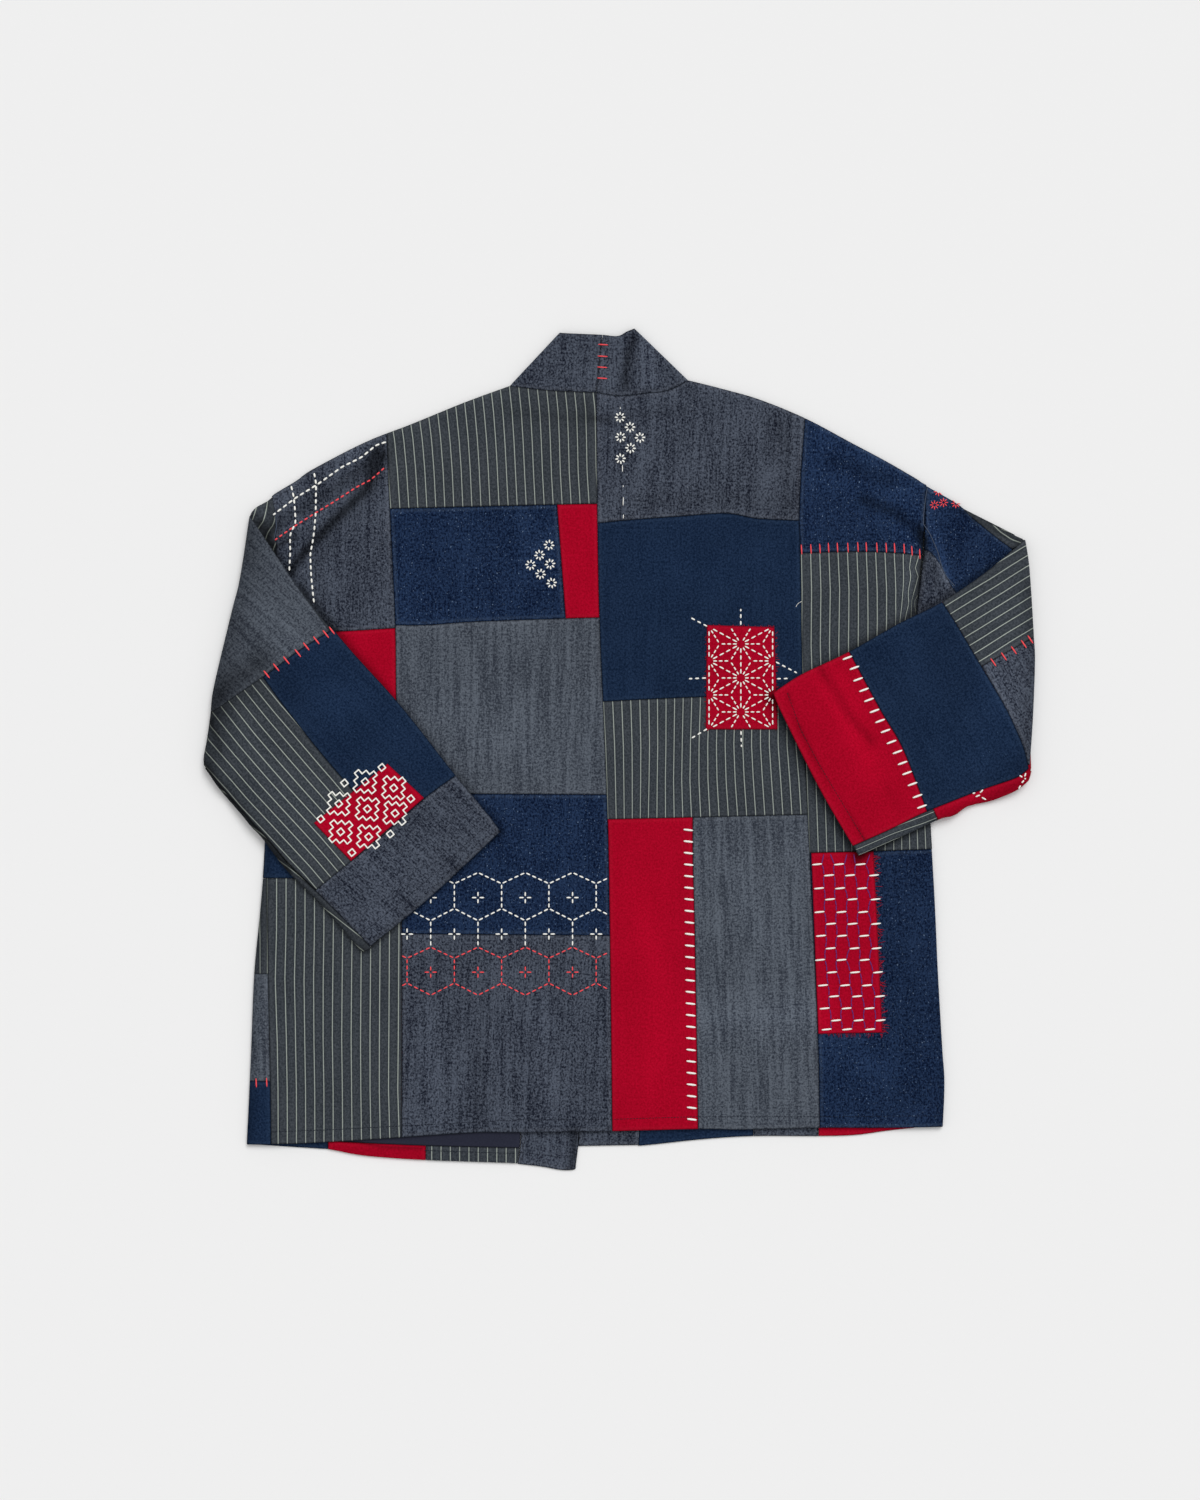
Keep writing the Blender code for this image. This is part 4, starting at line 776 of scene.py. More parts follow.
def fractions(length, step):
    """Places along a side, closer together by its ends, where the seams are."""
    rows = np.array((0,) + EDGE_ROWS) * min(1, length / (SHORT_SIDE * EDGE_ROWS[-1]))
    inner = max(3, int(round((length - 2 * rows[-1]) / step)) + 1)
    middle = np.linspace(rows[-1], length - rows[-1], inner)
    return np.concatenate([rows[:-1], middle, length - rows[-2::-1]]) / length


def patch(low, high, left, right, u, v):
    """Plan points of a piece with four curved sides; the sides run left to right and low to high."""
    uu, vv = u[:, None, None], v[None, :, None]
    left = left + (1 - vv[0]) * (low[0] - left[0]) + vv[0] * (high[0] - left[-1])
    right = right + (1 - vv[0]) * (low[-1] - right[0]) + vv[0] * (high[-1] - right[-1])
    across = (1 - vv) * low[:, None] + vv * high[:, None]
    up = (1 - uu) * left[None] + uu * right[None]
    corners = (1 - vv) * ((1 - uu) * low[0] + uu * low[-1]) + vv * ((1 - uu) * high[0] + uu * high[-1])
    return across + up - corners


def inset(xy, sides="lrbt", gap=SEAM):
    """The same plan points with the outer rows drawn in by half of a seam gap."""
    out = xy.copy()
    for side, outer, inner in (
        ("l", np.s_[0], np.s_[1]), ("r", np.s_[-1], np.s_[-2]),
        ("b", np.s_[:, 0], np.s_[:, 1]), ("t", np.s_[:, -1], np.s_[:, -2]),
    ):
        if side in sides:
            way = xy[inner] - xy[outer]
            out[outer] += way / np.linalg.norm(way, axis=-1, keepdims=True) * gap / 2
    return out


def pinned(t, line, start, end, corner):
    """The places t along a stretch of a line, with the one nearest to a corner moved onto it."""
    if corner is None:
        return t
    there = (place_on(line, corner) - start) / (end - start)
    nearest = 1 + int(np.argmin(np.abs(t[1:-1] - there)))
    return np.concatenate([t[:nearest], [there], t[nearest + 1:]])


def framed(low, high, left, right, step, corner=None):
    """Plan points between four long seams that cross at the corners of the piece.

    step is the size of a face, or one size across and one up. corner is a bend in the high side.
    """
    low, high, left, right = (smooth(side) for side in (low, high, left, right))
    step_u, step_v = step if isinstance(step, tuple) else (step, step)
    a_low, a_left = crossing(low, left)
    b_low, b_right = crossing(low, right)
    a_high, b_left = crossing(high, left)
    b_high, c_right = crossing(high, right)
    u = pinned(fractions(abs(b_low - a_low), step_u), high, a_high, b_high, corner)
    v = fractions(abs(b_left - a_left), step_v)
    return patch(
        at_length(low, a_low + u * (b_low - a_low)),
        at_length(high, a_high + u * (b_high - a_high)),
        at_length(left, a_left + v * (b_left - a_left)),
        at_length(right, b_right + v * (c_right - b_right)),
        u, v,
    )


def four_sided(low, high, left, right, step, along=None, corner=None):
    """Plan points between four sides that end at the corners. corner is a bend in the left side."""
    low, high, left, right = (smooth(side) for side in (low, high, left, right))
    if along is None:
        along = fractions(max(lengths(low)[-1], lengths(high)[-1]), step)
    v = fractions(max(lengths(left)[-1], lengths(right)[-1]), step)
    v = pinned(v, left, 0, lengths(left)[-1], corner)
    return patch(
        at_length(low, along * lengths(low)[-1]), at_length(high, along * lengths(high)[-1]),
        at_length(left, v * lengths(left)[-1]), at_length(right, v * lengths(right)[-1]), along, v,
    )


def place_on(line, target):
    """Distance along a polyline of its point nearest to the target."""
    step = np.diff(line, axis=0)
    t = np.clip(((target - line[:-1]) * step).sum(1) / np.maximum((step**2).sum(1), 1e-9), 0, 1)
    gap = np.linalg.norm(line[:-1] + t[:, None] * step - target, axis=1)
    best = int(np.argmin(gap))
    return lengths(line)[best] + t[best] * np.linalg.norm(step[best])


def cut(line, start, end):
    """The stretch of a line between the points nearest to start and end."""
    dense = smooth(line)
    first, last = place_on(dense, start), place_on(dense, end)
    total = lengths(dense)
    margin = 0.5
    inside = dense[(total > min(first, last) + margin) & (total < max(first, last) - margin)]
    if first > last:
        inside = inside[::-1]
    ends = at_length(dense, np.array([first, last]))
    return np.vstack([ends[:1], inside, ends[1:]])


def stripe_places(xy, guides):
    """Where points lie across and along the stripes of a piece, from a few stripes that were measured."""
    lines = [(number, plan(points)) for number, points in guides]
    along = lines[0][1][-1] - lines[0][1][0]
    along /= np.linalg.norm(along)
    across = np.array([along[1], -along[0]])
    run, place = xy @ along, xy @ across
    at = [
        np.interp(run, *((line @ way)[np.argsort(line @ along)] for way in (along, across)))
        for _, line in lines
    ]
    numbers = [number for number, _ in lines]
    turn = np.sign((at[-1] - at[0]).mean())
    index = None
    for low, high, first, second in zip(at[:-1], at[1:], numbers[:-1], numbers[1:]):
        width = np.where(np.abs(high - low) < 0.5, 0.5 * turn, high - low)
        share = first + (second - first) * (place - low) / width
        index = share if index is None else np.where(share > first, share, index)
    index = np.clip(index, numbers[0] - STRIPES_BEYOND, numbers[-1] + STRIPES_BEYOND)
    return np.stack([index * STRIPE_PITCH, run], -1)


def weave_places(name, flat):
    """Places along and across the threads of a piece, in millimetres, from its unfolded plan points."""
    if name in STRIPES:
        return stripe_places(flat, STRIPES[name])
    seed = sum(ord(letter) * (k + 3) for k, letter in enumerate(name))
    angle = np.radians(GRAIN.get(name, 0) + seed % 5 - 2)
    turned = flat @ np.array([[np.cos(angle), -np.sin(angle)], [np.sin(angle), np.cos(angle)]])
    return turned + (seed * 37 % 4001, seed * 91 % 4003)


def spans(points):
    """Distances between neighbouring points of a grid, summed along its first way."""
    steps = np.linalg.norm(np.diff(points, axis=0), axis=-1)
    return np.concatenate([np.zeros((1, points.shape[1])), np.cumsum(steps, axis=0)])


def edge_distances(points):
    """Distance of each grid point from the left, right, low and high side of its piece."""
    across = spans(points)
    up = spans(points.transpose(1, 0, 2)).T
    return {"l": across, "r": across[-1:] - across, "b": up, "t": up[:, -1:] - up}


def fold_fade_and_shading(name, xy):
    """Painted shade below 0, in troughs where dye also stays and beside sleeves; painted highlight and
    fading on ridges.
    """
    on_sleeve = name.startswith("sleeve") and "standing" not in name and name != "sleeve_right_indigo"
    if on_sleeve or name == "patch_flower":
        heights = folds(FINE_SLEEVE_FOLDS, xy) + folds(SLEEVE_FOLDS, xy)
        deep = FOLD_FADE_AND_SHADING_SHARE * heights + folds(SLEEVE_SHADES, xy)
    else:
        heights = folds(FINE_FOLDS, xy) + folds(BACK_FOLDS, xy)
        deep = FOLD_FADE_AND_SHADING_SHARE * heights + folds(BODY_SHADES, xy)
    return np.clip(deep + RIPPLE_SHADING_SHARE * ripples(xy), DARKEST, PALEST)


def new_object(name, points, faces, material):
    """A smooth object from points in millimetres."""
    mesh = bpy.data.meshes.new(name)
    mesh.from_pydata((np.asarray(points) * MM).tolist(), [], faces)
    mesh.shade_smooth()
    mesh.materials.append(material)
    piece = bpy.data.objects.new(name, mesh)
    bpy.context.scene.collection.objects.link(piece)
    return piece


def give_vectors(piece, name, vectors):
    """Gives each point of a mesh a vector that its material reads by this name."""
    attribute = piece.data.attributes.new(name, "FLOAT_VECTOR", "POINT")
    attribute.data.foreach_set("vector", np.asarray(vectors, np.float32).ravel())


def pressed(distance, width, soft):
    """1 within the width of an edge and 0 beyond it, with a soft step between."""
    return 1 - ease((distance - width + soft / 2) / soft)


def cloth(name, kind, xy, z, wall=WALL, flat=None):
    """One wall of cloth, with its seams drawn in and its hems thicker.

    flat holds the plan points of a folded piece once it is unfolded.
    """
    sides = edge_distances(np.concatenate([xy, z[..., None]], -1))
    edge = np.min(list(sides.values()), axis=0)
    on_the_ground = z.max() <= WALL
    if not on_the_ground:
        z = z - SEAM_DITCH * np.exp(-((edge / SEAM_DITCH_WIDTH) ** 2))
        for side in TURNED.get(name, ""):
            z = z + TURNED_LIFT * pressed(sides[side], TURNED_WIDTH, TURNED_SOFT)
        for side in HEMMED.get(name, ""):
            z = z + HEM_LIFT * pressed(sides[side], HEM_WIDTH, HEM_SOFT)
    z = np.maximum(z, wall / 2)
    across, up = xy.shape[:2]
    points = np.concatenate([xy, z[..., None]], -1)
    order = np.arange(across * up).reshape(across, up)
    faces = np.stack([order[:-1, :-1], order[1:, :-1], order[1:, 1:], order[:-1, 1:]], -1).reshape(-1, 4)
    piece = new_object(f"cloth_{name}", points.reshape(-1, 3), faces.tolist(), FABRICS[kind])
    places = weave_places(name, xy if flat is None else flat)
    give_vectors(piece, "weave", np.concatenate([places, edge[..., None]], -1))
    # Painted shade and highlight of the folds and shade lines, with the fading of ridges, for the material
    depth = piece.data.attributes.new("fade_and_painted_shading", "FLOAT", "POINT")
    depth.data.foreach_set("value", fold_fade_and_shading(name, xy).astype(np.float32).ravel())
    shell = piece.modifiers.new("wall", "SOLIDIFY")
    shell.thickness = wall * MM
    shell.offset = 0
    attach(piece, "root")
    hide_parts(name)
    declare(points, sides)
    CLOTH_PIECES[name] = piece
    return piece


def declare(points, sides):
    """Works out the flat cut of a piece, the size of the cloth before it was sewn and laid, and keeps none
    of it.
    """
    width, length = (sides["l"] + sides["r"]).max() * MM, (sides["b"] + sides["t"]).max() * MM
    a, b = points[1:, 1:] - points[:-1, :-1], points[1:, :-1] - points[:-1, 1:]
    area = np.linalg.norm(np.cross(a, b), axis=-1).sum() / 2 * MM**2
    area = float(np.clip(area, LEAST_AREA * width * length, width * length))


def folded(name, kind, under, over, low, high):
    """A wall that runs along a lower layer to a fold and back over an upper layer.

    under and over are plan points whose first row (v = 0) is the outline at the fold.
    """
    run = np.gradient(over[:, 0], axis=0)
    run /= np.linalg.norm(run, axis=-1, keepdims=True)
    inward = over[:, 1] - over[:, 0]
    inward /= np.linalg.norm(inward - (inward * run).sum(-1, keepdims=True) * run, axis=-1, keepdims=True)
    z_low, z_high = low(under[:, 0]), high(over[:, 0])
    bend = (z_high - z_low) / 2
    width = np.linalg.norm(over[:, -1] - over[:, 0], axis=-1)
    reach = np.minimum(bend + WALL / 2, WIDEST_BEND * width)
    centre = over[:, 0] + inward * reach[:, None]
    angle = np.linspace(0, np.pi, BEND_STEPS + 1)[1:-1]
    turn_xy = centre[:, None] - inward[:, None] * ((reach[:, None] - WALL / 2) * np.sin(angle))[..., None]
    turn_z = z_low[:, None] + bend[:, None] * (1 - np.cos(angle))
    over = beyond(over, centre, reach)
    under = beyond(under, centre, reach)
    xy = np.concatenate([under[:, ::-1], turn_xy, over], 1)
    z = np.concatenate([low(under)[:, ::-1], turn_z, high(over)], 1)
    first = under.shape[1] + len(angle)
    z[:, under.shape[1] - 1] = z_low
    z[:, first] = z_high
    points = np.concatenate([xy, z[..., None]], -1)
    flat = xy.copy()
    outward = -inward / np.linalg.norm(inward, axis=-1, keepdims=True)
    for row in range(first - 1, -1, -1):
        step = np.linalg.norm(points[:, row] - points[:, row + 1], axis=-1)
        flat[:, row] = flat[:, row + 1] + outward * step[:, None]
    return cloth(name, kind, xy, z, flat=xy if name.startswith("collar") else flat)


def beyond(layer, centre, reach):
    """A layer whose first rows, which the bend takes, lie evenly between its centre and what follows."""
    layer = layer.copy()
    away = np.linalg.norm(layer - layer[:, :1], axis=-1).min(0)
    free = away > reach.max() * BEND_CLEAR
    keep = max(1, int(np.argmax(free))) if free.any() else layer.shape[1] - 1
    share = np.linspace(0, 1, keep + 1)[None, :, None]
    layer[:, :keep + 1] = centre[:, None] * (1 - share) + layer[:, keep:keep + 1] * share
    return layer


def make_back():
    """The blocks of the back and its sides, but for the one that goes round the right side."""
    shoulder_left = cut(SHOULDER_LEFT, (-240, 281), NECK_LEFT[0])
    shoulder_right = cut(SHOULDER_RIGHT, NECK_RIGHT[0], (190, 293))
    yoke_left_top = np.vstack([shoulder_left, smooth(NECK_LEFT)[1:], [(-12, 327)]])
    yoke_right_top = np.vstack([[(-32, 330)], smooth(NECK_RIGHT)[::-1], shoulder_right[1:]])
    top_left, mid_left, low_left = SIDE_LEFT_SEAMS
    top_right, low_right = SIDE_RIGHT_SEAMS
    blocks = [
        ("back_yoke_left", "stripe", YOKE_LEFT_HEM, yoke_left_top, COLUMN_LEFT, CENTRE_BACK),
        ("back_left_indigo", "indigo", INDIGO_LEFT_HEM, YOKE_LEFT_HEM, COLUMN_LEFT, RED_LEFT_SEAM),
        ("back_left_red", "red", INDIGO_LEFT_HEM, YOKE_LEFT_HEM, RED_LEFT_SEAM, CENTRE_BACK),
        ("back_left_chambray", "chambray", CHAMBRAY_LEFT_HEM, INDIGO_LEFT_HEM, COLUMN_LEFT, CENTRE_BACK),
        ("back_left_indigo_low", "indigo", INDIGO_LOW_HEM, CHAMBRAY_LEFT_HEM, COLUMN_LEFT, CENTRE_BACK),
        ("back_left_denim", "denim", BACK_HEM, INDIGO_LOW_HEM, COLUMN_LEFT, CENTRE_BACK),
        ("back_yoke_right", "denim", YOKE_RIGHT_HEM, yoke_right_top, CENTRE_BACK, COLUMN_RIGHT),
        ("back_right_navy", "navy", NAVY_HEM, YOKE_RIGHT_HEM, CENTRE_BACK, COLUMN_RIGHT),
        ("back_right_stripe", "stripe", STRIPE_HEM, NAVY_HEM, CENTRE_BACK, COLUMN_RIGHT),
        ("back_right_red", "red", BACK_HEM, STRIPE_HEM, CENTRE_BACK, RED_LONG_SEAM),
        ("back_right_chambray", "chambray", BACK_HEM, STRIPE_HEM, RED_LONG_SEAM, COLUMN_RIGHT),
        ("side_left_denim", "denim", top_left, SHOULDER_LEFT, SIDE_LEFT, COLUMN_LEFT),
        ("side_left_red", "red", mid_left, top_left, SIDE_LEFT, COLUMN_LEFT),
        ("side_left_navy", "navy", low_left, mid_left, SIDE_LEFT, COLUMN_LEFT),
        ("side_left_stripe", "stripe", BACK_HEM, low_left, SIDE_SEAM_LEFT, COLUMN_LEFT),
        ("side_right_indigo", "indigo", top_right, SHOULDER_RIGHT, COLUMN_RIGHT, SIDE_RIGHT),
        ("side_right_stripe", "stripe", low_right, top_right, COLUMN_RIGHT, SIDE_RIGHT),
    ]
    corners = {"back_yoke_left": NECK_LEFT[0], "back_yoke_right": NECK_RIGHT[0]}
    for name, kind, low, high, left, right in blocks:
        xy = inset(framed(low, high, left, right, STEP, corners.get(name)))
        height = wrapped_height if name == "side_left_stripe" else back_height
        cloth(name, kind, xy, height(xy))


def wrap(name, kind, fold, under, over, low, high, along=None, corner=None):
    """A folded piece from its fold line and the far, first and last side of each of its layers."""
    u = fractions(lengths(smooth(fold))[-1], STEP) if along is None else along
    under = inset(four_sided(fold, *under, FLAT_STEP if low is floor_height else STEP, along=u), "lrt")
    over = inset(four_sided(fold, *over, STEP, along=u, corner=corner), "lrt")
    folded(name, kind, under, over, low, high)


def make_side_right_low():
    """The lower right block goes round the side to a seam below."""
    top, hem = (287.3, -91.3), (297, -347)
    column_top, column_hem = (177, -95), (184, -348)
    seam_top, seam_hem = (280, -91), (271, -347)
    under = (cut(SIDE_SEAM_RIGHT, seam_top, seam_hem), [top, seam_top], [hem, seam_hem])
    over = (
        cut(COLUMN_RIGHT, column_top, column_hem),
        cut(SIDE_RIGHT_SEAMS[1], top, column_top),
        cut(BACK_HEM, hem, column_hem),
    )
    fold = cut(SIDE_RIGHT, top, hem)
    wrap("side_right_indigo_low", "indigo", fold, under, over, floor_height, wrapped_height)


def make_front_left():
    """The front that shows at the left side and below the back hem, with its hem turned up."""
    across = [(-345, FRONT_SPLIT), (-80, FRONT_SPLIT)]
    upper = framed(across, SHOULDER_LEFT, SIDE_LEFT, BAND_LEFT_SEAM, (FLAT_STEP, STEP))
    upper = inset(upper, gap=HIDDEN_SEAM)
    cloth("front_left_upper", "denim", upper, floor_height(upper))

    inner = FRONT_LEFT_COLUMNS[0]
    hem_outer, hem_inner = FRONT_LEFT_HEM[1][1], FRONT_LEFT_HEM[3][1]
    seam_high, seam_low = SIDE_STRIP_SEAMS
    strips = (
        ("front_left_side_stripe", "stripe", FRONT_SPLIT, seam_high, seam_high),
        ("front_left_side_chambray", "chambray", seam_high, seam_low, seam_low),
        ("front_left_side_navy", "navy", seam_low, hem_outer, hem_inner),
    )
    for name, kind, top, low, low_inner in strips:
        fold = cut(SIDE_LEFT, (-335, top), (-340, low))
        seam = cut(SIDE_SEAM_LEFT, (-324, top), (-322, low))
        under = ([(inner, top), (inner, low_inner)], [fold[0], (inner, top)],
                 [fold[-1], (inner, low_inner)])
        over = (seam, [fold[0], seam[0]], [fold[-1], seam[-1]])
        along = fractions(top - low, 2 * STEP)
        wrap(name, kind, fold, under, over, floor_height, wrapped_height, along)

    far = -400
    lines = ([(x, FRONT_SPLIT + 10), (x, far)] for x in FRONT_LEFT_COLUMNS)
    lines = [*lines, BAND_LEFT_SEAM]
    for name, kind, left, right in (
        ("front_left_red", "red", lines[0], lines[1]),
        ("front_left_stripe", "stripe", lines[1], lines[2]),
    ):
        under = inset(framed(FRONT_LEFT_HEM, across, left, right, (1.5 * STEP, FLAT_STEP)), "lrt")
        over = inset(framed(FRONT_LEFT_HEM, TURN_UP_LEFT, left, right, 1.5 * STEP), "lrt")
        folded(name, kind, under, over, floor_height, turn_up_height)

    top = [(-345, LINING_TOP), (-80, LINING_TOP)]
    edge = [(LINING_LEFT, -300), (LINING_LEFT, far)]
    lining = inset(framed(TURN_UP_LEFT, top, edge, BAND_LEFT_SEAM, STEP))
    cloth("front_left_lining", "lining", lining, turn_up_height(lining))


def make_front_right():
    """The front that shows below the back hem on the right."""
    across = [(-20, FRONT_SPLIT), (295, -90)]
    upper = framed(across, SHOULDER_RIGHT, BAND_RIGHT_SEAM, SIDE_RIGHT, (FLAT_STEP, STEP))
    upper = inset(upper, gap=HIDDEN_SEAM)
    cloth("front_right_upper", "denim", upper, floor_height(upper))
    columns = [[(x, FRONT_SPLIT + 40), (x, -400)] for x in FRONT_RIGHT_COLUMNS]
    lines = [BAND_RIGHT_SEAM, *columns, SIDE_SEAM_RIGHT]
    names = (("front_right_navy", "navy"), ("front_right_denim", "denim"), ("front_right_red", "red"))
    for (name, kind), left, right in zip(names, lines[:-1], lines[1:]):
        xy = inset(framed(FRONT_RIGHT_HEM, across, left, right, (1.5 * STEP, FLAT_STEP)))
        cloth(name, kind, xy, floor_height(xy))


def make_bands():
    """Each band runs up a front, turns over at the side of the neck and ends at the collar's middle."""
    along = fractions(lengths(np.array([NECK_LEFT[0], COLLAR_TOP[0]], float))[-1], STEP)
    hem_left = [(-94.3, -381.6), (-72, -384.2), (-55, -387.2), (-45, -387.4), (-40.8, -386.2)]
    hem_right = [(17.7, -364.2), (-38.5, -365.2)]
    for side, neck, top, seam, edge, hem in (
        ("left", NECK_LEFT, COLLAR_TOP[:2], BAND_LEFT_SEAM[1:], BAND_LEFT_EDGE, hem_left),
        ("right", NECK_RIGHT, COLLAR_TOP[:1:-1], BAND_RIGHT_SEAM[1:], BAND_RIGHT_EDGE, hem_right),
    ):
        under = (hem, cut(seam, neck[0], hem[0]), cut(edge, top[0], hem[1]))
        over = (COLLAR_CENTRE, neck, top + COLLAR_CENTRE[1:])
        wrap(f"collar_band_{side}", "denim", [neck[0], top[0]], under, over, floor_height, back_height,
             along)


def make_sleeve_left():
    """The upper wall, the wall below it and the part that still lies as the sleeve grows from the body."""
    fold_top, fold_low = FOLD_LEFT[0], FOLD_LEFT[-1]
    armhole_top, apex, seam_end = (-319.5, 233.5), (-267, 110), (-366, 41.3)
    corner, cuff_inner, cuff_low = (-328, 67), (-213, -74), (-279, -129)

    fold = cut(FOLD_LEFT, fold_top, FOLD_LEFT_SEAM)
    under = (
        cut(SIDE_LEFT, armhole_top, UNDERARM_LEFT),
        [fold_top, armhole_top],
        [FOLD_LEFT_SEAM, UNDERARM_LEFT],
    )
    over = (
        cut(CHAMBRAY_SEAM, apex, seam_end),
        cut(SLEEVE_LEFT_TOP, fold_top, apex),
        [FOLD_LEFT_SEAM, seam_end],
    )
    along = fractions(lengths(fold)[-1], STEP)
    wrap("sleeve_left_chambray", "chambray", fold, under, over, floor_height, over_height, along)

    seam_under, edge_under = (-345, 29), (-345, 13)
    inner_seam = cut(SLEEVE_LEFT_INNER_SEAM, corner, cuff_inner)
    under = ([seam_under, edge_under], [FOLD_LEFT_SEAM, seam_under], [fold_low, edge_under])
    over = (
        cut(CUFF_LEFT_SEAM, cuff_inner, cuff_low),
        np.vstack([cut(CHAMBRAY_SEAM, FOLD_LEFT_SEAM, corner), inner_seam[1:]]),
        cut(SLEEVE_LEFT_UNDERARM, fold_low, cuff_low),
    )
    fold = cut(FOLD_LEFT, FOLD_LEFT_SEAM, fold_low)
    along = fractions(lengths(fold)[-1], STEP)
    wrap("sleeve_left_stripe", "stripe", fold, under, over, floor_height, over_height, along, corner)

    for name, kind, low, high, left in (
        ("sleeve_left_navy", "navy", CUFF_LEFT_SEAM, CHAMBRAY_SEAM, SLEEVE_LEFT_INNER_SEAM),
        ("sleeve_left_cuff", "denim", CUFF_LEFT_EDGE, CUFF_LEFT_SEAM, SLEEVE_LEFT_UNDERARM),
    ):
        xy = inset(framed(low, high, left, SLEEVE_LEFT_TOP, STEP))
        cloth(name, kind, xy, over_height(xy))

    # The lower wall comes up round the lower edge to its seam.
    start, end, seam_start, seam_end = (-382, -16), (-236, -186), (-380, -16.5), (-227, -181)
    cuff_top, inside_top = (-112, -75), (-330, 199)
    under = (
        cut(SLEEVE_LEFT_TOP, inside_top, cuff_top) - LOWER_WALL_SHIFT,
        [start, (-368, 45), (-347, 145), inside_top],
        cut(CUFF_LEFT_EDGE, end, cuff_top),
    )
    over = (cut(SLEEVE_LEFT_UNDERARM, seam_start, seam_end), [start, seam_start], [end, seam_end])
    fold = cut(SLEEVE_LEFT_OUTLINE, start, end)
    wrap("sleeve_left_lower", "stripe", fold, under, over, under_height, over_height)

    inside_low, inside_top = (-368, -4), (-340.5, 213)
    standing = four_sided(
        [UNDERARM_LEFT, inside_low], ARMHOLE_LEFT, cut(SIDE_LEFT, UNDERARM_LEFT, armhole_top),
        [inside_low, (-352, 120), inside_top], 1.5 * STEP,
    )
    standing = inset(standing, gap=HIDDEN_SEAM * 1.5)
    cloth("sleeve_left_standing", "stripe", standing, back_height(standing))


def make_sleeve_right():
    """Its walls over the back, the two pieces below them and the part that isn't folded over."""
    fold_top, fold_low = FOLD_RIGHT[0], FOLD_RIGHT[-1]
    armhole_top, armhole_mid = (282, 240), (275.5, 157)
    edge_top, corner, low_end = (296, 136), (332, 77), (374.4, -12)

    fold = cut(FOLD_RIGHT, fold_top, FOLD_RIGHT_SEAM)
    under = (
        cut(SIDE_RIGHT, armhole_top, armhole_mid),
        [fold_top, armhole_top],
        [FOLD_RIGHT_SEAM, armhole_mid],
    )
    over = (
        cut(NAVY_OUTER_SEAM, edge_top, corner),
        cut(SLEEVE_RIGHT_TOP, fold_top, edge_top),
        cut(STRIPE_SEAM, FOLD_RIGHT_SEAM, corner),
    )
    along = fractions(lengths(fold)[-1], STEP)
    wrap("sleeve_right_stripe", "stripe", fold, under, over, floor_height, over_height, along)

    fold = cut(FOLD_RIGHT, FOLD_RIGHT_SEAM, fold_low)
    under = (
        cut(SIDE_RIGHT, armhole_mid, UNDERARM_RIGHT),
        [FOLD_RIGHT_SEAM, armhole_mid],
        [fold_low, UNDERARM_RIGHT],
    )
    over = (
        cut(NAVY_OUTER_SEAM, corner, low_end),
        cut(STRIPE_SEAM, FOLD_RIGHT_SEAM, corner),
        [fold_low, low_end],
    )
    wrap("sleeve_right_denim", "denim", fold, under, over, floor_height, over_height)

    for name, kind, left, right in (
        ("sleeve_right_navy", "navy", CUFF_RIGHT_SEAM, NAVY_OUTER_SEAM),
        ("sleeve_right_cuff", "red", CUFF_RIGHT_EDGE, CUFF_RIGHT_SEAM),
    ):
        xy = inset(framed(SLEEVE_RIGHT_UNDERARM, SLEEVE_RIGHT_TOP, left, right, STEP))
        cloth(name, kind, xy, over_height(xy))

    # The lower wall comes up round the lower edge to its seam, in two pieces.
    cuff_low, cuff_top = (219, -97), (144, 53)
    split_low, split_seam, split_top = (292, -64), (288, -55), (211, 91)
    red_low, red_seam, red_top = (378.2, -20), (375.6, -16.8), (362, 186)
    cuff = (cuff_low, (214.5, -88), cuff_top, cut(CUFF_RIGHT_EDGE, cuff_low, cuff_top))
    split = (split_low, split_seam, split_top, cut(UNDER_RIGHT_SPLIT, split_low, split_top))
    inside = (red_low, red_seam, red_top, [red_low, (373, 104), red_top])
    for kind, first, last in (("stripe", cuff, split), ("red", split, inside)):
        start, seam_start, top_start, left = first
        end, seam_end, top_end, right = last
        under = (cut(SLEEVE_RIGHT_TOP, top_start, top_end), left, right)
        over = (cut(SLEEVE_RIGHT_UNDERARM, seam_start, seam_end), [start, seam_start], [end, seam_end])
        fold = cut(SLEEVE_RIGHT_OUTLINE, start, end)
        wrap(f"sleeve_right_lower_{kind}", kind, fold, under, over, under_height, over_height)

    # The standing part shows between the shoulder and the folded part.
    ridge_top, ridge_low, inside_low = (280, 185), (366, 6), (366, -4)
    ridge = cut(RIDGE, ridge_top, ridge_low)
    for name, kind, low, high, left, right in (
        ("sleeve_right_indigo", "indigo", ridge, STANDING_TOP, cut(SIDE_RIGHT, ridge_top, STANDING_TOP[0]),
         [ridge_low, (369, 104), STANDING_TOP[-1]]),
        ("sleeve_right_standing_denim", "denim", [UNDERARM_RIGHT, inside_low], ridge,
         cut(SIDE_RIGHT, UNDERARM_RIGHT, ridge_top), [inside_low, ridge_low]),
        ("sleeve_right_standing_stripe", "stripe", STANDING_TOP[2:], STANDING_EDGE,
         [STANDING_TOP[2], STANDING_EDGE[0]], [STANDING_TOP[-1], STANDING_EDGE[-1]]),
    ):
        xy = inset(four_sided(low, high, left, right, STEP))
        cloth(name, kind, xy, back_height(xy))


def make_patches():
    """Three patches on the height of the cloth below them."""
    for name, kind, corners, below in (
        ("patch_star", "red", STAR_PATCH, back_height),
        ("patch_brick", "red", BRICK_PATCH, back_height),
        ("patch_flower", "red", FLOWER_PATCH, over_height),
    ):
        a, b, c, d = corners
        xy = four_sided([a, b], [d, c], [a, d], [b, c], STEP)
        cloth(name, kind, xy, below(xy) + WALL / 2 + SEAM + PATCH_WALL / 2, PATCH_WALL)


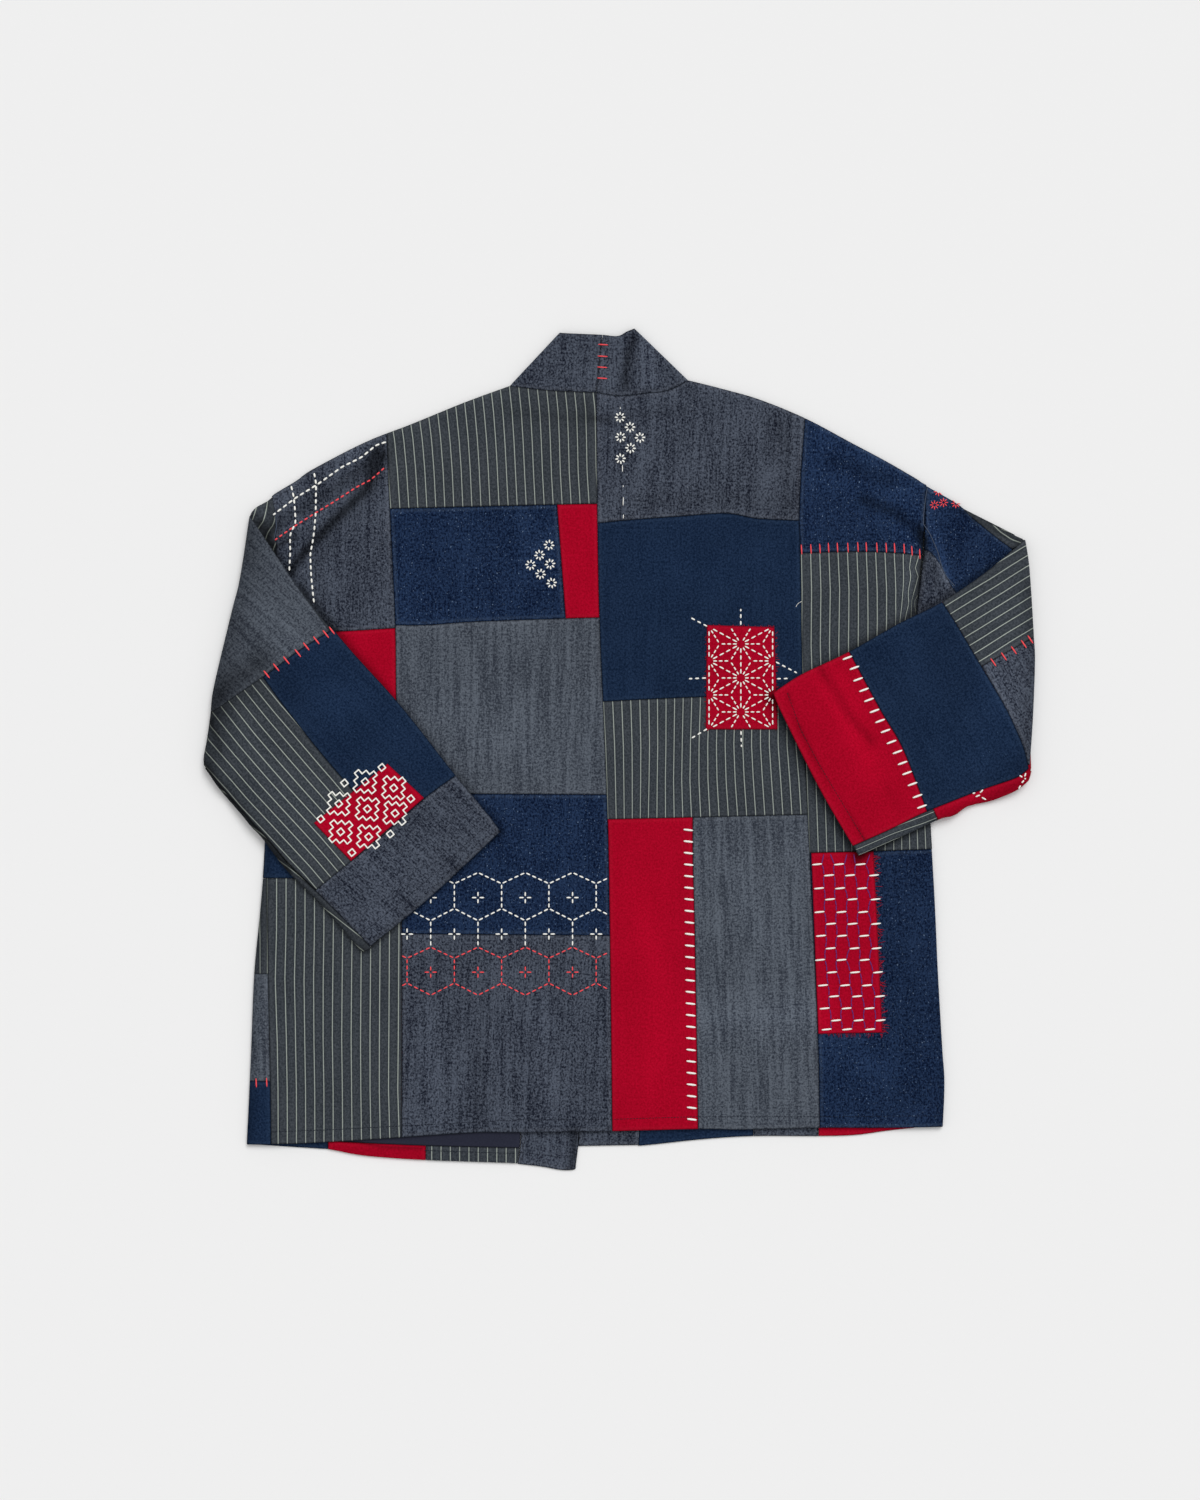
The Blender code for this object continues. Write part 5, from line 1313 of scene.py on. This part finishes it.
class Surface:
    """The top of some pieces of cloth, as the threads find it from above."""

    def __init__(self, names):
        graph = bpy.context.evaluated_depsgraph_get()
        points, faces = [], []
        for name in names:
            mesh = CLOTH_PIECES[name].evaluated_get(graph).to_mesh()
            start = len(points)
            points += [vertex.co.copy() for vertex in mesh.vertices]
            faces += [[start + k for k in face.vertices] for face in mesh.polygons]
        self.tree = BVHTree.FromPolygons(points, faces)

    def height(self, place):
        """Height in millimetres under a thread's width, None beside the cloth."""
        found = []
        for x, y in ((0, 0), (1, 0), (-1, 0), (0, 1), (0, -1)):
            x, y = place[0] + x * THREAD_REACH, place[1] + y * THREAD_REACH
            start = Vector((x * MM, y * MM, ABOVE_ALL))
            hit = self.tree.ray_cast(start, Vector((0, 0, -1)))[0]
            if hit is not None:
                found.append(hit.z / MM)
        return max(found, default=None)


def stitches_along(points, stitch, gap, start=0.0):
    """The two ends of each running stitch along a line through these points."""
    line = smooth(points)
    total = lengths(line)[-1]
    ends = []
    while start < total - stitch * SHORTEST_STITCH:
        stop = min(start + stitch, total)
        ends.append(at_length(line, np.array([start, stop])))
        start += stitch + gap
    return ends


def bars(centres, reach):
    """Short straight stitches about these centres; reach is from a centre to an end."""
    reach = np.array(reach, float)
    return [np.array([centre - reach, centre + reach]) for centre in plan(centres)]


def between(points, k):
    """The two ends of k equal stitches on the way from the first point to the second."""
    a, b = np.array(points, float)
    length = np.linalg.norm(b - a)
    share = (np.arange(k)[:, None] + (0.5 - STITCH_SHARE / 2, 0.5 + STITCH_SHARE / 2)) / k
    return [a + s[:, None] * (b - a) for s in share] if length > 1 else []


def taut(heights):
    """Heights of the cloth under a stitch, as a taut thread crosses its gaps and dips."""
    heights = np.array([np.nan if height is None else height for height in heights])
    found = ~np.isnan(heights)
    if found.sum() < 3:
        return None
    heights = np.interp(THREAD_SHARES, THREAD_SHARES[found], heights[found])
    for a in range(len(heights)):
        for b in range(a + 2, len(heights)):
            inner = slice(a + 1, b)
            bridge = np.interp(THREAD_SHARES[inner], THREAD_SHARES[[a, b]], heights[[a, b]])
            heights[inner] = np.maximum(heights[inner], bridge)
    return heights


def tube(line, heights, radius, form, jitter):
    """Rings of points round a stitch that lies on the cloth at these heights."""
    z = heights + radius * (THREAD_RISE + jitter)
    centre = np.concatenate([line, z[:, None]], 1)
    along = np.gradient(centre, axis=0)
    along /= np.linalg.norm(along, axis=1, keepdims=True)
    side = np.cross(along, (0, 0, 1))
    side /= np.linalg.norm(side, axis=1, keepdims=True)
    up = np.cross(side, along)
    turn = np.linspace(0, 2 * np.pi, THREAD_SIDES, endpoint=False)
    ring = side[:, None] * np.cos(turn)[:, None] + up[:, None] * np.sin(turn)[:, None] * THREAD_FLAT
    rings = centre[:, None] + ring * (radius * form)[:, None, None]
    return rings.reshape(-1, 3).tolist()


def tube_faces(start):
    """Faces of a closed tube whose first point has this number."""
    faces = []
    for row in range(len(THREAD_SHARES) - 1):
        for k in range(THREAD_SIDES):
            a = start + row * THREAD_SIDES + k
            b = start + row * THREAD_SIDES + (k + 1) % THREAD_SIDES
            faces.append((a, b, b + THREAD_SIDES, a + THREAD_SIDES))
    last = start + (len(THREAD_SHARES) - 1) * THREAD_SIDES
    faces.append([start + k for k in reversed(range(THREAD_SIDES))])
    faces.append([last + k for k in range(THREAD_SIDES)])
    return faces


def thread_mesh(name, colour, groups, form=THREAD_FORM):
    """Joins stitches into one mesh. groups: ends of each stitch, radius, surface, surface above it."""
    points, faces, twist = [], [], []
    for stitches, radius, surface, above in groups:
        for number, ends in enumerate(stitches):
            ends = np.asarray(ends, float)
            length = np.linalg.norm(ends[1] - ends[0])
            if length < SHORTEST_THREAD:
                continue
            line = ends[0] + THREAD_SHARES[:, None] * (ends[1] - ends[0])
            heights = taut([surface.height(place) for place in line])
            if heights is None:
                continue
            over = above.height(line[2]) if above else None
            if over is not None and over > heights[2] + HIDDEN_BELOW:
                continue
            jitter = THREAD_JITTER * radius * np.sin(number * JITTER_STEP + ends[0, 0])
            faces += tube_faces(len(points))
            points += tube(line, heights, radius, form, jitter)
            turns = [k / THREAD_SIDES for k in range(THREAD_SIDES)]
            twist += [(turn, share * length, number) for share in THREAD_SHARES for turn in turns]
    threads = new_object(name, points, faces, thread_material(name, colour))
    give_vectors(threads, "ply", twist)
    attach(threads, "root")


def daisies(centres, petal=PETAL):
    """Straight petals round each centre."""
    ends = []
    for k, centre in enumerate(plan(centres)):
        for turn in np.radians(np.arange(PETALS) * 360 / PETALS + DAISY_SWING * np.sin(k * 3)):
            way = np.array([np.cos(turn), np.sin(turn)])
            ends.append(np.array([centre + petal[0] * way, centre + petal[1] * way]))
    return ends


def hexagons():
    """Two rows of hexagons with a cross in each, the upper white and the lower red."""
    white, red = [], []
    for column in HEX_COLUMNS:
        middle = HEX_START + column * HEX_PITCH
        left, right = middle - HEX_PITCH / 2, middle + HEX_PITCH / 2
        for ends, top in ((white, HEX_TOP), (red, HEX_TOP + HEX_ROW)):
            shoulder, waist, foot = top + HEX_SHOULDER, top + HEX_WAIST, top + HEX_FOOT
            for route in (
                [(left, shoulder), (middle, top), (right, shoulder), (right, waist)],
                [(left, waist), (middle, foot), (right, waist)],
            ):
                for a, b in zip(route, route[1:]):
                    ends += between(plan([a, b]), HEX_STITCHES)
        white += between(plan([(middle, HEX_TOP + HEX_FOOT), (middle, HEX_TOP + HEX_TAIL)]), HEX_STITCHES)
        for ends, x, y in (
            (white, middle, HEX_TOP + HEX_CENTRE),
            (white, right, HEX_TOP + HEX_LOW_CROSS),
            (red, middle, HEX_TOP + HEX_ROW + HEX_CENTRE),
        ):
            centre = plan([(x, y)])[0]
            for arm in CROSS_ARMS:
                ends.append(np.array([centre + np.array(arm) * share for share in (CROSS_HOLE, 1)]))
    low, high = plan([(HEX_LEFT, 0), (HEX_RIGHT, 0)])[:, 0]
    return [
        [clipped(e, low, high) for e in ends if e[:, 0].max() > low and e[:, 0].min() < high]
        for ends in (white, red)
    ]


def clipped(ends, low, high):
    """A stitch cut off at the sides of a piece."""
    run = ends[1] - ends[0]
    if abs(run[0]) < 0.01:
        return ends
    share = np.sort(np.clip((np.array([low, high]) - ends[0, 0]) / run[0], 0, 1))
    return ends[0] + share[:, None] * run


def stars():
    """The star lattice of six-pointed leaves."""
    ends = []
    middle_x, middle_y = STAR_CENTRE
    width = STAR_SIDE * np.sqrt(3) / 2 * STAR_STRETCH
    corners = {}
    for column, x in enumerate((middle_x - width, middle_x, middle_x + width)):
        offset = STAR_SIDE / 2 if column != 1 else 0
        for row in STAR_ROWS:
            corners[column, row] = (x, middle_y + row * STAR_SIDE + offset)
    low, high = middle_y - STAR_SIDE * STAR_REACH, middle_y + STAR_SIDE * STAR_REACH

    def line(a, b, stitches, first_hole=STAR_HOLE):
        inside = all(low - 1 <= p[1] <= high + 1 for p in (a, b))
        along_edge = abs(a[1] - b[1]) < 1 and min(abs(a[1] - low), abs(a[1] - high)) < 1
        if inside and not along_edge:
            first, last = plan([a, b])
            way = (last - first) / np.linalg.norm(last - first)
            ends.extend(between([first + way * first_hole, last - way * STAR_HOLE], stitches))

    for row in STAR_ROWS:
        middle, lower = corners[1, row], corners.get((1, row + 1))
        line(middle, (middle[0], middle[1] + STAR_SIDE), STAR_STITCHES)
        for column in (0, 2):
            outer, above = corners[column, row], corners.get((column, row - 1))
            line(outer, (outer[0], outer[1] + STAR_SIDE), STAR_STITCHES)
            line(middle, outer, STAR_STITCHES)
            triangles = []
            if above is not None:
                line(middle, above, STAR_STITCHES)
                triangles.append((((middle[0] + 2 * outer[0]) / 3, middle[1]), (middle, above, outer)))
            if lower is not None:
                centre = ((2 * middle[0] + outer[0]) / 3, (middle[1] + lower[1]) / 2)
                triangles.append((centre, (middle, lower, outer)))
            for centre, triangle in triangles:
                for corner in triangle:
                    line(centre, corner, LEAF_STITCHES, LEAF_HOLE)
    return ends


def four_turns(points):
    """A loop of four equal parts, from the points of one quarter."""
    loop = []
    for _ in range(4):
        loop += points
        points = [(-b, a) for a, b in points]
    return loop


def persimmons():
    """Flowers of a stepped outline round a square, in rows on a turned grid."""
    ends = []
    turn = np.radians(FLOWER_TURN)
    across = np.array([np.cos(turn), np.sin(turn)])
    up = np.array([-np.sin(turn), np.cos(turn)])
    steps, square = four_turns(FLOWER_QUARTER), four_turns(SQUARE_QUARTER)
    outlines = [(centre, loop) for centre in plan(FLOWERS) for loop in (steps, square)]
    outlines += [(centre, square) for centre in plan(LONE_SQUARES)]
    for centre, loop in outlines:
        corners = [centre + FLOWER_UNIT * (a * across + b * up) for a, b in loop]
        for a, b in zip(corners, corners[1:] + corners[:1]):
            ends.append(np.array([a - (b - a) * FLOWER_OVERLAP, b + (b - a) * FLOWER_OVERLAP]))
    return ends


def bricks():
    """Rows of bars, each row shifted by half, and the thin threads that join their ends."""
    bar_ends, links = [], [plan(ends) for ends in BRICK_TOP_LINKS]
    for (y, places), (next_y, next_places) in zip(BRICK_ROWS, BRICK_ROWS[1:] + [(None, ())]):
        for x in places:
            bar_ends.append(plan(np.add((x, y), BRICK_BAR)))
            for target in next_places:
                if abs(target - x) < BRICK_NEAR:
                    way = np.sign(target - x)
                    start = (x + LINK_OUT * way, y + LINK_FROM)
                    end = (target - LINK_OUT * way, next_y + LINK_TO)
                    a, b = plan([start, end])
                    bow = np.array([(a + b)[0] / 2 + way * LINK_BOW, (a + b)[1] / 2])
                    links += [np.array([a, bow]), np.array([bow, b])]
    return bar_ends, links


def frays(start, end, outward, count, longest, seed):
    """Loose ends of the weave along an edge."""
    chance = np.random.default_rng(seed)
    start, end = plan([start, end])
    ends = []
    for share in np.sort(chance.random(count)):
        place = start + share * (end - start)
        way = np.array(outward, float) + chance.normal(0, FRAY_SPREAD, 2)
        way /= np.linalg.norm(way)
        tip = place + way * longest * chance.uniform(FRAY_LEAST, 1) ** 2
        ends.append(np.array([place - way * FRAY_ROOT, tip]))
    return ends


def strokes(stitches):
    """Stitches whose ends were measured one by one."""
    return [plan(ends) for ends in stitches]


def running(lines):
    """The running stitches along each of some (route, stitch, gap)."""
    return [stitches_along(plan(route), stitch, gap) for route, stitch, gap in lines]


def embroider():
    """Every stitch by hand, in white, coral and violet thread, and the machine stitches of the hems."""
    over = [name for name in CLOTH_PIECES if name.startswith("sleeve") and "standing" not in name]
    over = [name for name in over if name != "sleeve_right_indigo"] + ["patch_flower"]
    body = Surface([name for name in CLOTH_PIECES if name not in over])
    sleeve = Surface(over)
    white, red, violet, flowers = [], [], [], []
    hex_white, hex_red = hexagons()
    bar_ends, links = bricks()
    rays = [(route, RAY_STITCH, RAY_GAP) for route in STAR_RAYS]
    for thread, stitches, gauge, surface, above in (  # gauge is the radius, to the thickest thread's
        (white, daisies(DAISIES), 0.74, body, sleeve),
        (white, strokes(NAPE_STITCHES), 0.42, body, None),
        (red, daisies(RED_DAISIES, SMALL_PETAL), 0.46, body, sleeve),
        *((white, line, 0.9, body, sleeve) for line in running(WHITE_LINES)),
        *((red, line, 0.75, body, sleeve) for line in running(RED_LINES)),
        (white, hex_white, 0.72, body, sleeve),
        (red, hex_red, 0.6, body, sleeve),
        (white, stars(), 0.66, body, sleeve),
        *((white, line, 0.78, body, sleeve) for line in running(rays)),
        (flowers, persimmons(), 0.7, sleeve, None),
        (white, bar_ends, 0.82, body, sleeve),
        (violet, links, 0.55, body, sleeve),
        (white, bars(LONG_RED_BARS, (4.4, -0.5)), 0.95, body, sleeve),
        (white, bars(CUFF_BARS, (4.4, 1.6)), 0.95, sleeve, None),
        (red, bars(SLEEVE_LEFT_BARS, (2.8, -3.5)), 0.74, sleeve, None),
        (red, bars(SLEEVE_RIGHT_BARS, (2.5, -3.6)), 0.7, sleeve, None),
        (red, bars(COLUMN_BARS, (0.3, -4.6)), 0.6, body, sleeve),
        (red, bars(COLLAR_BARS, (4.6, -0.3)), 0.6, body, None),
        (red, bars(SIDE_BARS, (0.2, -4.2)), 0.6, body, None),
        (white, strokes(CROSSES), 0.72, sleeve, None),
    ):
        thread.append((stitches, THREAD * gauge, surface, above))
    white.append((strokes(zip(LOOSE_THREAD[:-1], LOOSE_THREAD[1:])), MACHINE_RADIUS, body, None))

    machine = [
        (line, MACHINE_RADIUS, surface, above)
        for routes, surface, above in ((HEM_LINES, body, sleeve), (CUFF_LINES, sleeve, None))
        for line in running((route, MACHINE_STITCH, MACHINE_GAP) for route in routes)
    ]
    ragged = [(frays(*fray, number), FRAY_RADIUS, body, None) for number, fray in enumerate(FRAYS)]
    ridges = running((route, ROLL_STITCH, ROLL_GAP) for route in RIDGES)
    rolls = [(line, ROLL_RADIUS, body, sleeve) for line in ridges]
    thread_mesh("white_stitches", WHITE_THREAD, white)
    thread_mesh("flower_stitches", WHITE_THREAD, flowers, CORD_FORM)
    thread_mesh("red_stitches", RED_THREAD, red)
    # The ridges' cords are paler than the cloth: a painted highlight.
    thread_mesh("rolled_seam_highlights", RIDGE_HIGHLIGHT_COLOUR, rolls, CORD_FORM)
    thread_mesh("violet_stitches", VIOLET_THREAD, violet)
    thread_mesh("hem_stitches", HEM_THREAD, machine)
    thread_mesh("frayed_ends", FRAY_THREAD, ragged)


def linear(red, green, blue):
    """A colour of 0 to 255 on screen as the shader takes it."""
    dark_limit = 10
    channels = (
        ((v / 255 + 0.055) / 1.055) ** 2.4 if v > dark_limit else v / 255 / 12.92
        for v in (red, green, blue)
    )
    return (*channels, 1)


class Nodes:
    """Builds a material's nodes. Each method but finish returns the output of a new node."""

    def __init__(self, name):
        self.material = bpy.data.materials.new(name)
        self.material.use_nodes = True
        self.tree = self.material.node_tree
        self.shader = self.tree.nodes["Principled BSDF"]

    def node(self, kind, inputs=None, **settings):
        """A node with these settings, its inputs set to values or joined to outputs."""
        node = self.tree.nodes.new(f"ShaderNode{kind}")
        for key, value in settings.items():
            setattr(node, key, value)
        for key, value in (inputs or {}).items():
            self.put(value, node.inputs[key])
        return node

    def put(self, value, socket):
        if isinstance(value, bpy.types.NodeSocket):
            self.tree.links.new(value, socket)
        else:
            socket.default_value = value

    def attribute(self, name, output="Vector"):
        return self.node("Attribute", attribute_name=name).outputs[output]

    def grain(self, vector, scale):
        """Places in millimetres divided by the size of a grain each way."""
        sizes = (1 / scale[0], 1 / scale[1], 0)
        return self.node("VectorMath", {0: vector, 1: sizes}, operation="MULTIPLY").outputs["Vector"]

    def noise(self, vector, scale, detail=2.0, rough=0.55):
        """Even noise of about 0 to 1."""
        inputs = {"Vector": self.grain(vector, scale), "Scale": 1.0, "Detail": detail, "Roughness": rough}
        return self.node("TexNoise", inputs).outputs["Fac"]

    def wave(self, vector, scale):
        """Diagonal bands."""
        inputs = {"Vector": self.grain(vector, scale), "Scale": 1.0}
        return self.node("TexWave", inputs, bands_direction="DIAGONAL").outputs["Fac"]

    def math(self, operation, *values):
        return self.node("Math", dict(enumerate(values)), operation=operation).outputs["Value"]

    def add(self, a, b):
        return self.math("ADD", a, b)

    def times(self, a, b):
        return self.math("MULTIPLY", a, b)

    def minus(self, a, b):
        return self.math("SUBTRACT", a, b)

    def between(self, value, low, high):
        """0 below low and 1 above high, softly."""
        inputs = {"Value": value, "From Min": low, "From Max": high}
        return self.node("MapRange", inputs, interpolation_type="SMOOTHSTEP").outputs["Result"]

    def mix(self, share, a, b):
        return self.node("Mix", {"Factor": share, "A": a, "B": b}, data_type="RGBA").outputs["Result"]

    def across(self, vector):
        """The three parts of a vector."""
        return self.node("SeparateXYZ", {0: vector}).outputs

    def scaled(self, colour, share):
        return self.node("VectorMath", {0: colour, "Scale": share}, operation="SCALE").outputs["Vector"]

    def finish(self, colour, height, depth, rough):
        """depth is the relief of the weave in millimetres."""
        bump = self.node("Bump", {"Distance": depth * MM, "Height": height}).outputs["Normal"]
        self.put(colour, self.shader.inputs["Base Color"])
        self.put(bump, self.shader.inputs["Normal"])
        self.shader.inputs["Roughness"].default_value = rough
        self.shader.inputs["Specular IOR Level"].default_value = SPECULAR
        self.shader.inputs["Sheen Weight"].default_value = SHEEN
        self.shader.inputs["Sheen Roughness"].default_value = SHEEN_ROUGH
        return self.material


def fabric(name):
    """Denim, chambray, twill or lining: streaks along both threads, flecks, wear beside the seams, painted
    shading.
    """
    dark, pale, fleck, streak, weft, flecks, mottle, slub, half, depth = WEAVES[name]
    n = Nodes(name)
    place = n.attribute("weave")
    edge = n.across(place)["Z"]
    warp = n.noise(place, (WARP_GRAIN, streak), 3.0, 0.6)
    cross = n.noise(place, (streak * WEFT_STREAK, WARP_GRAIN), 2.0)
    fine = n.noise(place, FINE_GRAIN, 2.0, 0.7)
    cloud = n.noise(place, CLOUD_GRAIN, 3.0)
    long = n.noise(place, SLUB_GRAIN, 2.0)
    tone = n.add(n.times(warp, 1 - weft), n.times(cross, weft))
    tone = n.add(n.times(tone, 1 - FINE_SHARE), n.times(fine, FINE_SHARE))
    for part, share in ((cloud, mottle), (long, slub)):
        tone = n.add(tone, n.times(n.minus(part, 0.5), share))
    colour = n.mix(n.between(tone, 0.5 - half, 0.5 + half), linear(*dark), linear(*pale))
    if flecks:
        low, high = (level - flecks * FLECK_SPREAD for level in FLECK_LEVELS)
        spots = n.between(n.noise(place, FLECK_GRAIN, 1.0), low, high)
        colour = n.mix(n.times(spots, FLECK_SHARE), colour, linear(*fleck))
    if name == "stripe":
        colour = pinstripes(n, place, colour)
    inside = n.minus(1.0, n.between(edge, *WORN_TO))
    worn = n.times(n.between(edge, *WORN_FROM), inside)
    colour = n.mix(n.times(worn, WORN_SHARE), colour, linear(*fleck))
    shade = n.minus(1.0, n.between(edge, *DITCH))
    colour = n.mix(n.times(shade, DITCH_SHARE), colour, linear(*(v * DITCH_TONE for v in dark)))
    # Painted shade and highlight: the colour is scaled by the fold and shade-line tone, which also holds
    # ridge fading
    colour = n.scaled(colour, n.add(1.0, n.attribute("fade_and_painted_shading", "Fac")))
    twill = n.wave(place, TWILL)
    height = n.add(n.add(n.times(twill, TWILL_SHARE), n.times(warp, WARP_SHARE)), fine)
    return n.finish(colour, height, depth, CLOTH_ROUGH)


def pinstripes(n, place, colour):
    """Pale threads side by side every few millimetres, with a faint dark rib on each side."""
    across = n.math("DIVIDE", n.across(place)["X"], STRIPE_PITCH)
    nearest = n.math("ABSOLUTE", n.minus(across, n.math("ROUND", across)))
    apart = n.times(nearest, STRIPE_PITCH)
    rib = n.minus(1.0, n.between(n.math("ABSOLUTE", n.minus(apart, RIB_PLACE)), *RIB_EDGES))
    colour = n.mix(n.times(rib, RIB_SHARE), colour, linear(*RIB_COLOUR))
    broken = n.times(n.noise(place, BROKEN_GRAIN, 2.0), STRIPE_VARIES)
    line = n.minus(1.0, n.between(apart, *(STRIPE_WIDTH * share for share in STRIPE_EDGES)))
    line = n.times(line, n.add(STRIPE_LEAST, broken))
    return n.mix(line, colour, linear(*STRIPE_COLOUR))


def thread_material(name, colour):
    """Plied cotton: fine turns along each stitch."""
    n = Nodes(name)
    ply = n.attribute("ply")
    turns = n.wave(ply, PLY)
    tone = n.noise(ply, PLY_GRAIN, 2.0)
    shade = n.add(n.times(turns, 0.5), n.times(tone, 0.5))
    dark = tuple(v * PLY_TONE for v in colour)
    body = n.mix(n.between(shade, 0.1, 0.5), linear(*dark), linear(*colour))
    return n.finish(body, turns, PLY_DEPTH, THREAD_ROUGH)


def plain(name, colour, rough):
    n = Nodes(name)
    n.shader.inputs["Base Color"].default_value = colour
    n.shader.inputs["Roughness"].default_value = rough
    return n.material


def make_stage():
    """A plain pale surface, soft light from all round and a softer one from above, and the camera."""
    mesh = bpy.data.meshes.new("floor")
    corners = four_turns([(-FLOOR_REACH, -FLOOR_REACH)])
    mesh.from_pydata([(x, y, FLOOR_DROP) for x, y in corners], [], [(0, 1, 2, 3)])
    floor = bpy.data.objects.new("floor", mesh)
    bpy.context.scene.collection.objects.link(floor)
    mesh.materials.append(plain("paper", FLOOR_COLOUR, 0.9))

    world = bpy.data.worlds.new("room")
    world.use_nodes = True
    world.node_tree.nodes["Background"].inputs["Color"].default_value = (1, 1, 1, 1)
    world.node_tree.nodes["Background"].inputs["Strength"].default_value = ROOM_LIGHT
    bpy.context.scene.world = world
    lamp = bpy.data.lights.new("window", "SUN")
    lamp.energy = WINDOW_LIGHT
    lamp.angle = np.radians(WINDOW_SIZE)
    sun = bpy.data.objects.new("window", lamp)
    sun.rotation_euler = Vector(WINDOW_FROM).to_track_quat("Z", "Y").to_euler()
    bpy.context.scene.collection.objects.link(sun)

    data = bpy.data.cameras.new("camera")
    data.lens = SENSOR * CAMERA_HEIGHT / VIEW_HEIGHT
    data.sensor_width = SENSOR
    data.clip_start = 0.05
    camera = bpy.data.objects.new("camera", data)
    camera.location = (CAMERA_X, 0, CAMERA_HEIGHT + CLOTH_TOP)
    bpy.context.scene.collection.objects.link(camera)
    bpy.context.scene.camera = camera
    bpy.context.scene.view_settings.view_transform = "Standard"


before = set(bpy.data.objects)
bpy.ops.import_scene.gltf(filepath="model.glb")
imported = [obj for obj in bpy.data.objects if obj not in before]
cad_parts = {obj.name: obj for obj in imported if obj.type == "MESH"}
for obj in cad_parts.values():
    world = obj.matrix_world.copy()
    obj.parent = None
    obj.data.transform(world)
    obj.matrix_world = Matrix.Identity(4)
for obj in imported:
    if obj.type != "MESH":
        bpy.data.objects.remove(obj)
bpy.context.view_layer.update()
FABRICS = {name: fabric(name) for name in WEAVES}
CLOTH_PIECES = {}
make_back()
make_side_right_low()
make_front_left()
make_front_right()
make_bands()
make_sleeve_left()
make_sleeve_right()
make_patches()
embroider()
make_stage()
